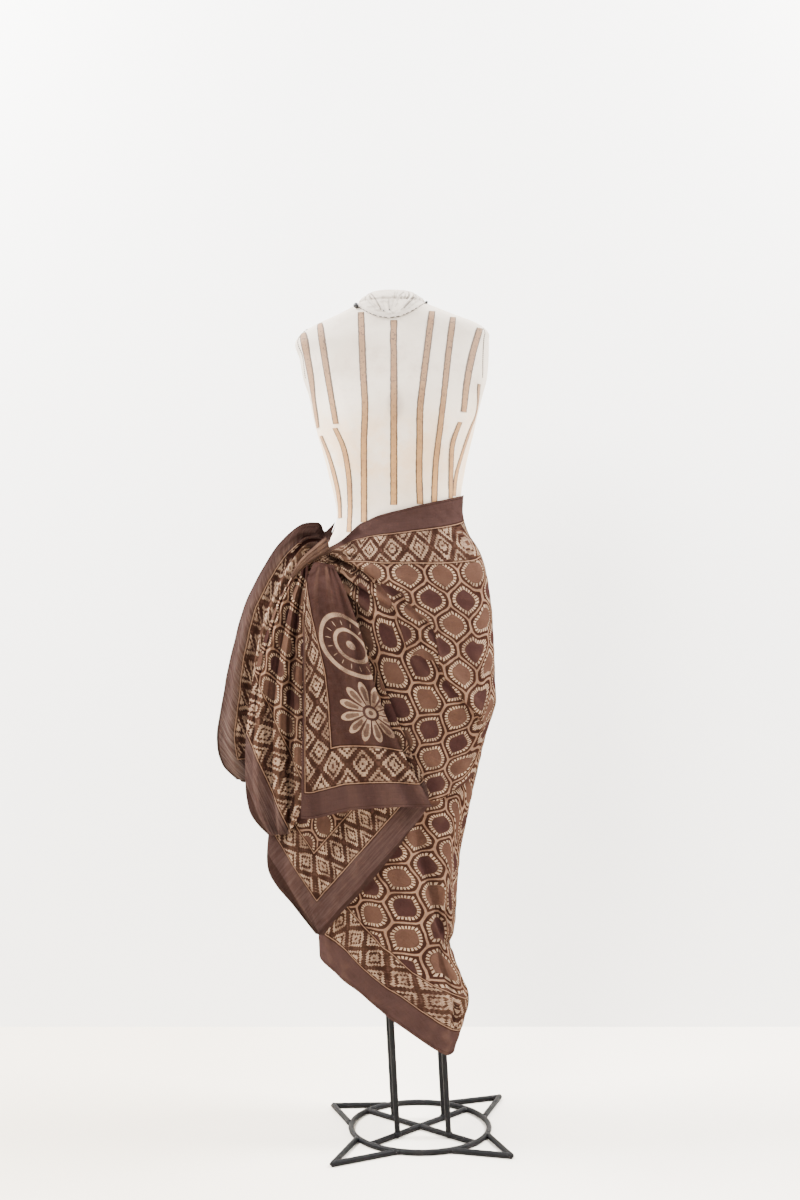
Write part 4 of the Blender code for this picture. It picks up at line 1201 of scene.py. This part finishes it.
# Tapes on the front of the form: points (x, z) down the middle of each.
TAPE_WIDTH = 0.0125
TAPE_WIDTHS = {"left_3_up": 0.021, "left_3_low": 0.018, "left_2_up": 0.014, "right_3_up": 0.0165}
TAPES = [
    ("centre", [(-0.0472, 1.4430), (-0.0471, 1.3680), (-0.0470, 1.2782), (-0.0471, 1.1940), (-0.0471, 1.1172)]),
    ("left_1", [(-0.1048, 1.4597), (-0.1001, 1.3504), (-0.0962, 1.2789), (-0.0982, 1.2284), (-0.0987, 1.1609), (-0.0989, 1.0883)]),
    ("left_2_up", [(-0.1786, 1.4457), (-0.1674, 1.3726), (-0.1580, 1.3180), (-0.1474, 1.2583)]),
    ("left_2_low", [(-0.1493, 1.2517), (-0.1353, 1.2203), (-0.1269, 1.1792), (-0.1238, 1.1277), (-0.1255, 1.0714)]),
    ("left_3_up", [(-0.2092, 1.4287), (-0.2008, 1.3843), (-0.1932, 1.3441), (-0.1890, 1.3072), (-0.1816, 1.2574)]),
    ("left_3_low", [(-0.1761, 1.2428), (-0.1634, 1.2103), (-0.1528, 1.1749), (-0.1442, 1.1294), (-0.1426, 1.0976)]),
    ("right_1", [(0.0205, 1.4619), (0.0110, 1.3873), (0.0037, 1.3282), (-0.0016, 1.2787), (-0.0022, 1.2280), (-0.0030, 1.1775), (-0.0012, 1.1192)]),
    ("right_2", [(0.0577, 1.4525), (0.0478, 1.3778), (0.0401, 1.3084), (0.0332, 1.2496), (0.0266, 1.1953), (0.0234, 1.1233)]),
    ("right_3_up", [(0.1063, 1.4358), (0.0907, 1.3815), (0.0812, 1.3335), (0.0752, 1.2807)]),
    ("right_3_low", [(0.0688, 1.2628), (0.0565, 1.2277), (0.0535, 1.1801), (0.0532, 1.1318)]),
    ("right_4", [(0.1036, 1.3337), (0.0991, 1.2826), (0.0878, 1.2526), (0.0734, 1.2097), (0.0628, 1.1708), (0.0595, 1.1358)]),
]


def turn_at(x, z):
    """The turn at which the form's front has this x at this height."""
    across = np.clip((x - smooth(FORM, "z", "middle", z)) / smooth(FORM, "z", "half", z), -0.999, 0.999)
    return np.degrees(np.arcsin(np.sign(across) * np.abs(across) ** (FORM_SQUARE / 2)))


def ribbon(name, turn, z, width=TAPE_WIDTH):
    """A tape laid on the form along turns and heights."""
    steps = len(z)
    middle = form_point(turn, z)
    length = np.concatenate([[0], np.cumsum(np.linalg.norm(np.diff(middle, axis=0), axis=1))])
    per_turn = np.linalg.norm(form_point(turn + 0.5, z) - form_point(turn - 0.5, z), axis=1)
    rows, uvs = [], []
    for i, u in enumerate(np.linspace(-1, 1, 7)):
        fray = 0.00035 * ripple(length * 3, u * 0.2, 40 + i, 0.02)
        lift = 0.0008 if abs(u) < 0.99 else 0.0005
        rows.append(form_point(turn + (u * width / 2 + fray) / per_turn, z, lift))
        uvs.append(np.stack([np.full(steps, u / 2 + 0.5), length], axis=-1))
    faces = [tuple(reversed(f)) for f in grid_faces(steps, 7)]
    return mesh_object("tape_" + name, np.stack(rows, axis=1).reshape(-1, 3), faces, tape, None, "canvas", {"tape": np.stack(uvs, axis=1).reshape(-1, 2)})


for name, line in TAPES:
    down = columns("x z", line)
    heights = np.linspace(down["z"][0], down["z"][-1], 80)
    ribbon(name, turn_at(smooth(down, "z", "x", heights), heights), heights, TAPE_WIDTHS.get(name, TAPE_WIDTH))
for name, high, low in (("back_centre", 180, 180), ("back_left_1", 214, 210), ("back_left_2", 240, 236), ("back_right_1", 146, 150), ("back_right_2", 120, 124)):
    ribbon(name, np.linspace(high, low, 80), np.linspace(1.440, 1.120, 80))

# ---------------------------------------------------------------- the neck cap
CAP = columns(
    "z half_x half_y",
    [
        (1.4838, 0.0590, 0.0530),
        (1.4900, 0.0560, 0.0490),
        (1.4945, 0.0520, 0.0460),
        (1.4980, 0.0490, 0.0435),
        (1.5012, 0.0450, 0.0400),
        (1.5040, 0.0395, 0.0350),
    ],
)
# Gathers of the cap: turn of each, where it runs between seam (0) and top (1), depth and width in degrees.
GATHERS = columns(
    "turn lean low high out width",
    [
        (-32, -50, 0.36, 0.92, -0.0024, 1.6),
        (-27, -50, 0.36, 0.92, 0.0012, 3.0),
        (-52, -30, 0.50, 0.95, -0.0014, 2.2),
        (-12, -16, 0.30, 0.70, -0.0008, 2.0),
        (4, 6, 0.25, 0.75, -0.0009, 1.8),
        (13, 22, 0.18, 0.70, -0.0014, 1.6),
        (18, 34, 0.22, 0.80, -0.0012, 1.6),
        (23, 46, 0.20, 0.90, -0.0024, 1.6),
        (28, 46, 0.30, 0.92, 0.0012, 2.4),
        (32, 50, 0.40, 0.95, -0.0016, 1.6),
        (44, 44, 0.42, 0.95, -0.0013, 1.8),
        (58, 30, 0.40, 0.95, -0.0010, 2.4),
        (-74, -20, 0.30, 0.90, -0.0011, 3.0),
        (84, 10, 0.20, 0.95, -0.0012, 4.0),
        (110, 0, 0.10, 1.0, -0.0018, 4.0),
        (150, 0, 0.10, 1.0, 0.0018, 6.0),
        (185, 0, 0.10, 1.0, -0.0018, 4.0),
        (220, 0, 0.10, 1.0, 0.0018, 6.0),
        (262, 0, 0.10, 1.0, -0.0014, 4.0),
    ],
)


SEAM_HALF = 0.058       # half the width of the neck seam
CAP_RIM = 1.5040
# Painted shade along creases on the cap's front, each a bent line through three points, with its strength.
CREASES = columns(
    "x_a z_a x_b z_b x_c z_c strength",
    [
        (-0.0885, 1.4975, -0.0790, 1.4850, -0.0700, 1.4630, 1.00),
        (-0.0300, 1.4980, -0.0340, 1.4930, -0.0372, 1.4900, 0.80),
        (-0.0110, 1.4885, -0.0200, 1.4770, -0.0285, 1.4660, 1.00),
        (-0.0350, 1.4830, -0.0395, 1.4730, -0.0410, 1.4650, 0.55),
        (-0.0450, 1.4980, -0.0462, 1.4850, -0.0480, 1.4660, 0.45),
        (-0.0405, 1.4970, -0.0430, 1.4900, -0.0440, 1.4800, 0.40),
        (-0.0560, 1.4820, -0.0565, 1.4740, -0.0545, 1.4640, 0.50),
        (-0.0235, 1.4840, -0.0290, 1.4760, -0.0340, 1.4690, 0.45),
        (-0.0950, 1.4850, -0.0880, 1.4740, -0.0800, 1.4660, 0.30),
        (-0.0050, 1.4820, -0.0120, 1.4740, -0.0200, 1.4660, 0.35),
    ],
)


def crease_depth(grid):
    """How strongly the painted crease shade marks each point of the cap's front, from 0 to 1."""
    x, z, depth = grid[..., 0], grid[..., 2], 0.0
    for row in zip(*(CREASES[k] for k in "x_a z_a x_b z_b x_c z_c strength".split())):
        nearest = 1.0
        for step in np.linspace(0, 1, 25):
            at_x = (1 - step) ** 2 * row[0] + 2 * step * (1 - step) * row[2] + step ** 2 * row[4]
            at_z = (1 - step) ** 2 * row[1] + 2 * step * (1 - step) * row[3] + step ** 2 * row[5]
            nearest = np.minimum(nearest, np.hypot(x - at_x, z - at_z))
        depth = np.maximum(depth, row[6] * np.exp(-((nearest / 0.0014) ** 2)))
    return depth * (grid[..., 1] < 0)


def seam_height(turn):
    c = np.cos(np.radians(turn))
    return 1.4748 + 0.0046 * np.sin(np.radians(turn)) - 0.0278 * np.maximum(c, 0) ** 2.0 + 0.0080 * np.maximum(-c, 0)


def cap_point(turn, v, want_creases=False):
    """Points of the neck cap: v is 0 at the seam, 1 at the rim of its flat top and 2 at the middle of that."""
    low = seam_height(turn)
    z = low + (CAP_RIM - low) * np.minimum(v, 1.0)
    angle = np.radians(turn)
    s, c = np.sin(angle), np.cos(angle)
    # under the form's top edge the cap lies on the form, over it it follows its own sections
    on_form = np.minimum(z, 1.4838)
    across = -0.0504 + SEAM_HALF * s
    at = turn_at(across, on_form)
    form = form_point(np.where(c >= 0, at, 180 - at), on_form, 0.0012)
    x_top = -0.0504 + smooth(CAP, "z", "half_x", z) * s
    y_top = 0.0030 - smooth(CAP, "z", "half_y", z) * c
    mix = ease(1.4836, 1.5000, z)
    x = form[..., 0] * (1 - mix) + x_top * mix
    y = form[..., 1] * (1 - mix) + y_top * mix
    out = 0.0
    for at_turn, lean, a, b, push, width in zip(*(GATHERS[k] for k in "turn lean low high out width".split())):
        off = (turn - at_turn - lean * (v - 0.5) + 180) % 360 - 180
        out = out + 2.4 * push * np.exp(-0.5 * (off / width) ** 2) * ease(a - 0.12, a + 0.12, v) * (1 - ease(b - 0.1, b + 0.1, v))
    out = out + 0.0007 * ripple(np.radians(turn) * 0.05, z, 9, 0.02) * ease(0.05, 0.2, v)
    out = np.clip(out, -0.0046 * ease(0.1, 0.4, v) - 0.0006, 0.0030)
    if want_creases:
        return np.clip((-out - 0.0004) / 0.0026, 0, 1)
    shrink = 1 - ease(1.0, 2.0, v) * 1.0
    x = -0.0504 + (x + 0.0504 + out * s) * shrink
    y = 0.003 + (y - 0.003 - out * c) * shrink
    return np.stack([x, y, z + 0.0008 * ease(1.0, 1.5, v)], axis=-1)


def cap_object():
    turn = np.linspace(0, 360, 480, endpoint=False)
    v = np.concatenate([np.linspace(0, 1, 60), np.linspace(1.06, 1.98, 16)])
    t, vv = np.meshgrid(turn, v)
    grid = cap_point(t, vv)
    rows, cols = t.shape
    points = list(grid.reshape(-1, 3)) + [grid[-1].mean(axis=0)]
    faces = [tuple(reversed(f)) for f in grid_faces(rows, cols, True)]
    last, top = (rows - 1) * cols, rows * cols
    faces += [(top, last + j, last + (j + 1) % cols) for j in range(cols)]
    # the UV map below carries painted shade for the gathers and the creases
    creases = np.append(np.maximum(cap_point(t, vv, True) * 0.5, crease_depth(grid)).ravel(), 0.0)
    return mesh_object("cap_canvas", points, faces, cap_cloth, "neck_cap", "canvas", {"crease_shade": np.stack([creases, np.append(vv.ravel(), 2.0)], axis=-1)})


cap_object()


def plain(name, colour, rough, metallic=0.0):
    made, tree, shader = start_material(name)
    where = object_vector(tree)
    spot = noise(tree, where, 160.0, 3.0, 0.6)
    shade = mixed(tree, spot, colour, tuple(c * 0.7 for c in colour[:3]) + (1.0,))
    tree.links.new(shade, shader.inputs["Base Color"])
    tree.links.new((spot * 0.2 + (rough - 0.1)).out, shader.inputs["Roughness"])
    shader.inputs["Metallic"].default_value = metallic
    return made


def tube(points, radius, sides=10, closed=False):
    """Points and faces of a round tube along points, with ends closed."""
    points = [Vector(p) for p in points]
    count = len(points)
    made, faces = [], []
    normal = None
    for i, p in enumerate(points):
        before = points[(i - 1) % count] if closed or i > 0 else p
        after = points[(i + 1) % count] if closed or i < count - 1 else p
        along = (after - before).normalized()
        if normal is None:
            normal = along.orthogonal().normalized()
        normal = (normal - along * normal.dot(along)).normalized()
        side = along.cross(normal)
        r = radius[i] if hasattr(radius, "__len__") else radius
        for k in range(sides):
            a = 2 * math.pi * k / sides
            made.append(p + (normal * math.cos(a) + side * math.sin(a)) * r)
    span = count if closed else count - 1
    for i in range(span):
        for k in range(sides):
            n, m = (i + 1) % count, (k + 1) % sides
            faces.append((i * sides + k, n * sides + k, n * sides + m, i * sides + m))
    if not closed:
        faces.append(tuple(range(sides)))
        faces.append(tuple((count - 1) * sides + k for k in reversed(range(sides))))
    return made, faces


def merged(parts):
    points, faces = [], []
    for p, f in parts:
        start = len(points)
        points += list(p)
        faces += [tuple(start + i for i in face) for face in f]
    return points, faces


thread = plain("thread", srgb(36, 33, 34), 0.8)
pin = plain("pin_head", srgb(22, 22, 26), 0.35)

# Stitches round the neck seam: short dark threads, uneven in length.
made = np.random.default_rng(21)
stitches = []
turn = -178.0
while turn < 178:
    long_turn = made.uniform(3.0, 7.5)
    run = np.linspace(turn, turn + long_turn, 5)
    line = cap_point(run, 0.012 + 0.010 * made.uniform(-1, 1) * np.linspace(-1, 1, 5))
    away = line - np.array([-0.0504, 0.003, 0]) * np.array([1, 1, 0])
    away[:, 2] = 0.01
    away /= np.linalg.norm(away, axis=1, keepdims=True)
    stitches.append(tube([Vector(p) for p in line + away * 0.0008], 0.00062, 6))
    turn += long_turn + made.uniform(2.6, 6.5)
mesh_object("neck_stitches", *merged(stitches), thread, None, "canvas")


armhole = []
for side in (-1, 1):
    for k in range(26):
        z_a = 1.436 - k * 0.0035
        z_pair = np.array([z_a, z_a - 0.0022])
        line = form_point(side * (73.5 - 2.5 * side - 4.0 * np.sin((1.436 - z_pair) * 30)), z_pair, 0.0006)
        armhole.append(tube([Vector(p) for p in line], 0.00085, 6))
mesh_object("armhole_stitches", *merged(armhole), thread, None, "canvas")


def pin_at(name, turn, v, size):
    base = Vector(cap_point(np.array([turn], float), np.array([v], float))[0])
    away = (base - Vector((-0.0504, 0.003, base.z - 0.01))).normalized()
    points, faces = [], []
    head = base + away * size * 1.2
    for i in range(9):
        a = math.pi * i / 8
        for k in range(12):
            b = 2 * math.pi * k / 12
            points.append(head + Vector((math.sin(a) * math.cos(b), math.sin(a) * math.sin(b), math.cos(a))) * size)
    faces = [tuple(f) for f in grid_faces(9, 12, True)]
    needle = tube([base - away * 0.004, head], 0.0004, 6)
    mesh_object(name, *merged([(points, faces), needle]), pin, None, "canvas")


pin_at("pin_left", -90, 0.06, 0.0050)
pin_at("pin_right", 84, 0.06, 0.0028)
pin_at("pin_front_1", -14, 0.22, 0.0014)
pin_at("pin_front_2", -4, 0.26, 0.0012)


# ---------------------------------------------------------------- the stand
def iron_material():
    made, tree, shader = start_material("iron")
    where = object_vector(tree)
    fine = noise(tree, where, 420.0, 3.0, 0.6)
    broad = noise(tree, where, 26.0, 4.0, 0.6)
    colour = mixed(tree, broad.ease(0.40, 0.75), srgb(11, 11, 13), srgb(22, 20, 21))
    colour = mixed(tree, noise(tree, where, 120.0, 5.0, 0.75).ease(0.68, 0.80) * 0.6, colour, srgb(58, 46, 40))
    colour = scaled(tree, colour, 0.85 + fine * 0.3)
    tree.links.new(colour, shader.inputs["Base Color"])
    tree.links.new((0.46 + broad * 0.22).out, shader.inputs["Roughness"])
    shader.inputs["Specular IOR Level"].default_value = 0.09
    bump(tree, shader, (broad, 0.3, 0.001), (fine, 0.35, 0.0005))
    return made


iron = iron_material()
R = ROD / 2


def on_circle(radius, degrees, z=R):
    return Vector((radius * math.cos(math.radians(degrees)), radius * math.sin(math.radians(degrees)), z))


def rod(points, steps=14):
    """A hand-made rod: a tube with slightly uneven thickness."""
    path = []
    for a, b in zip(points, points[1:]):
        path += [a.lerp(b, i / steps) for i in range(steps)]
    path.append(points[-1])
    radii = [R * (1 - 0.025 * (1 + math.sin(i * 2.1 + points[0].x * 90))) for i in range(len(path))]
    return tube(path, radii, 16)


def weld(at, size, flat=0.55):
    """A small lump of weld that stays above the floor."""
    points = []
    for i in range(9):
        a = math.pi * i / 8
        for k in range(14):
            b = 2 * math.pi * k / 14
            r = size * (1 + 0.10 * math.sin(3 * b + i) + 0.06 * math.sin(5 * a + 2 * b))
            p = at + Vector((math.sin(a) * math.cos(b) * r, math.sin(a) * math.sin(b) * r, math.cos(a) * r * flat))
            p.z = max(p.z, 0.0004)
            points.append(p)
    return points, grid_faces(9, 14, True)


cross = [rod([on_circle(-RING_RADIUS, arm), on_circle(RING_RADIUS, arm)], 40) for arm in CROSS_ARMS]
cross.append(weld(Vector((0, 0, R * 1.25)), 0.0075))
mesh_object("cross_rods", *merged(cross), iron, "base_cross", "iron")

ring = [on_circle(RING_RADIUS, 360 * i / 128) for i in range(128)]
ring_parts = [tube(ring, [R * (1 - 0.02 * (1 + math.sin(i * 1.7))) for i in range(128)], 16, True)]
ring_parts += [weld(on_circle(RING_RADIUS - R, arm + half, R * 1.1), 0.0065) for arm in CROSS_ARMS for half in (0, 180)]
mesh_object("ring_rod", *merged(ring_parts), iron, "base_ring", "iron")

for name, radius, at, foot_turn in STAR_POINTS:
    tip = on_circle(radius, at)
    feet = [on_circle(RING_RADIUS + R * 0.6, at + turn) for turn in (-foot_turn, foot_turn)]
    parts = [rod([feet[0], tip]), rod([tip, feet[1]])]
    # the rod is bent at the tip, with its outside filled round
    parts.append(weld(tip, R * 1.04, 0.96))
    parts += [weld(foot, 0.0062, 0.7) for foot in feet]
    mesh_object(f"star_rod_{name}", *merged(parts), iron, f"star_{name}", "iron")

for name, foot_x, foot_y in LEG_FEET:
    low = Vector((foot_x, foot_y, R * 1.6))
    high = Vector((foot_x + LEG_LEAN, foot_y, FORM_BOTTOM - 0.0004))
    mesh_object(f"leg_rod_{name}", *merged([rod([low, high], 60), weld(low + Vector((0, 0, -0.001)), 0.0078, 0.75)]), iron, f"leg_{name}", "iron")


# ------------------------------------------------- floor, wall, light, camera
def stage_plane(name, corners, colour, scale, left=None):
    mesh = bpy.data.meshes.new(name)
    mesh.from_pydata(corners, [], [tuple(range(len(corners)))])
    made, tree, shader = start_material(name)
    where = object_vector(tree)
    cloud = noise(tree, where, scale, 4.0, 0.5)
    shade = mixed(tree, cloud.ease(0.3, 0.8) * 0.5, colour, tuple(c * 0.95 for c in colour[:3]) + (1.0,))
    if left:
        split = tree.nodes.new("ShaderNodeSeparateXYZ")
        tree.links.new(where, split.inputs[0])
        # painted shade: the floor is darkened towards the left
        shade = mixed(tree, 1 - Field(tree, split.outputs[0]).ease(-0.55, 0.20), shade, left)
    tree.links.new(shade, shader.inputs["Base Color"])
    shader.inputs["Roughness"].default_value = 0.85
    shader.inputs["Specular IOR Level"].default_value = 0.15
    mesh.materials.append(made)
    obj = bpy.data.objects.new(name, mesh)
    bpy.context.scene.collection.objects.link(obj)
    return obj


WALL_Y = 0.62
def one_sided(obj):
    """The stage piece made clear from behind, so that views from there see past it."""
    tree = obj.data.materials[0].node_tree
    output = next(n for n in tree.nodes if n.bl_idname == "ShaderNodeOutputMaterial")
    front = output.inputs["Surface"].links[0].from_socket
    side, clear, mix = (tree.nodes.new(k) for k in ("ShaderNodeNewGeometry", "ShaderNodeBsdfTransparent", "ShaderNodeMixShader"))
    tree.links.new(side.outputs["Backfacing"], mix.inputs[0])
    tree.links.new(front, mix.inputs[1])
    tree.links.new(clear.outputs[0], mix.inputs[2])
    tree.links.new(mix.outputs[0], output.inputs["Surface"])


floor = stage_plane("floor", [(-6, -6, 0), (6, -6, 0), (6, 6, 0), (-6, 6, 0)], srgb(229, 222, 212), 3.0, srgb(214, 205, 191))
wall = stage_plane("wall", [(-6, WALL_Y, 0), (6, WALL_Y, 0), (6, WALL_Y, 6), (-6, WALL_Y, 6)], srgb(248, 248, 248), 2.0)
one_sided(wall)

world = bpy.data.worlds.new("soft_room")
world.use_nodes = True
world.node_tree.nodes["Background"].inputs["Color"].default_value = (1.0, 0.985, 0.96, 1.0)
world.node_tree.nodes["Background"].inputs["Strength"].default_value = 0.95
bpy.context.scene.world = world


def area_light(name, at, aim, size, power, colour=(1.0, 0.99, 0.97)):
    lamp = bpy.data.lights.new(name, "AREA")
    lamp.shape, lamp.size, lamp.energy, lamp.color = "SQUARE", size, power, colour
    obj = bpy.data.objects.new(name, lamp)
    obj.location = at
    obj.rotation_euler = (Vector(aim) - Vector(at)).to_track_quat("-Z", "Y").to_euler()
    bpy.context.scene.collection.objects.link(obj)
    return obj


area_light("window", (-1.7, -2.4, 2.7), (0, 0, 0.8), 1.4, 250)
area_light("wall_wash_left", (-2.0, 0.0, 3.2), (-0.5, WALL_Y, 1.0), 1.0, 465)
area_light("wall_wash_right", (2.0, 0.0, 3.2), (0.5, WALL_Y, 1.0), 1.0, 465)
area_light("fill", (2.6, -2.2, 1.6), (0, 0, 0.8), 2.4, 30)

lens = bpy.data.cameras.new("camera")
lens.lens, lens.sensor_width, lens.sensor_fit = 43.2, 36.0, "AUTO"
lens.clip_start, lens.clip_end = 0.05, 50
camera = bpy.data.objects.new("camera", lens)
camera.location = (-0.036, -2.592, 0.952)
camera.rotation_euler = (math.pi / 2, 0, 0)
bpy.context.scene.collection.objects.link(camera)
bpy.context.scene.camera = camera
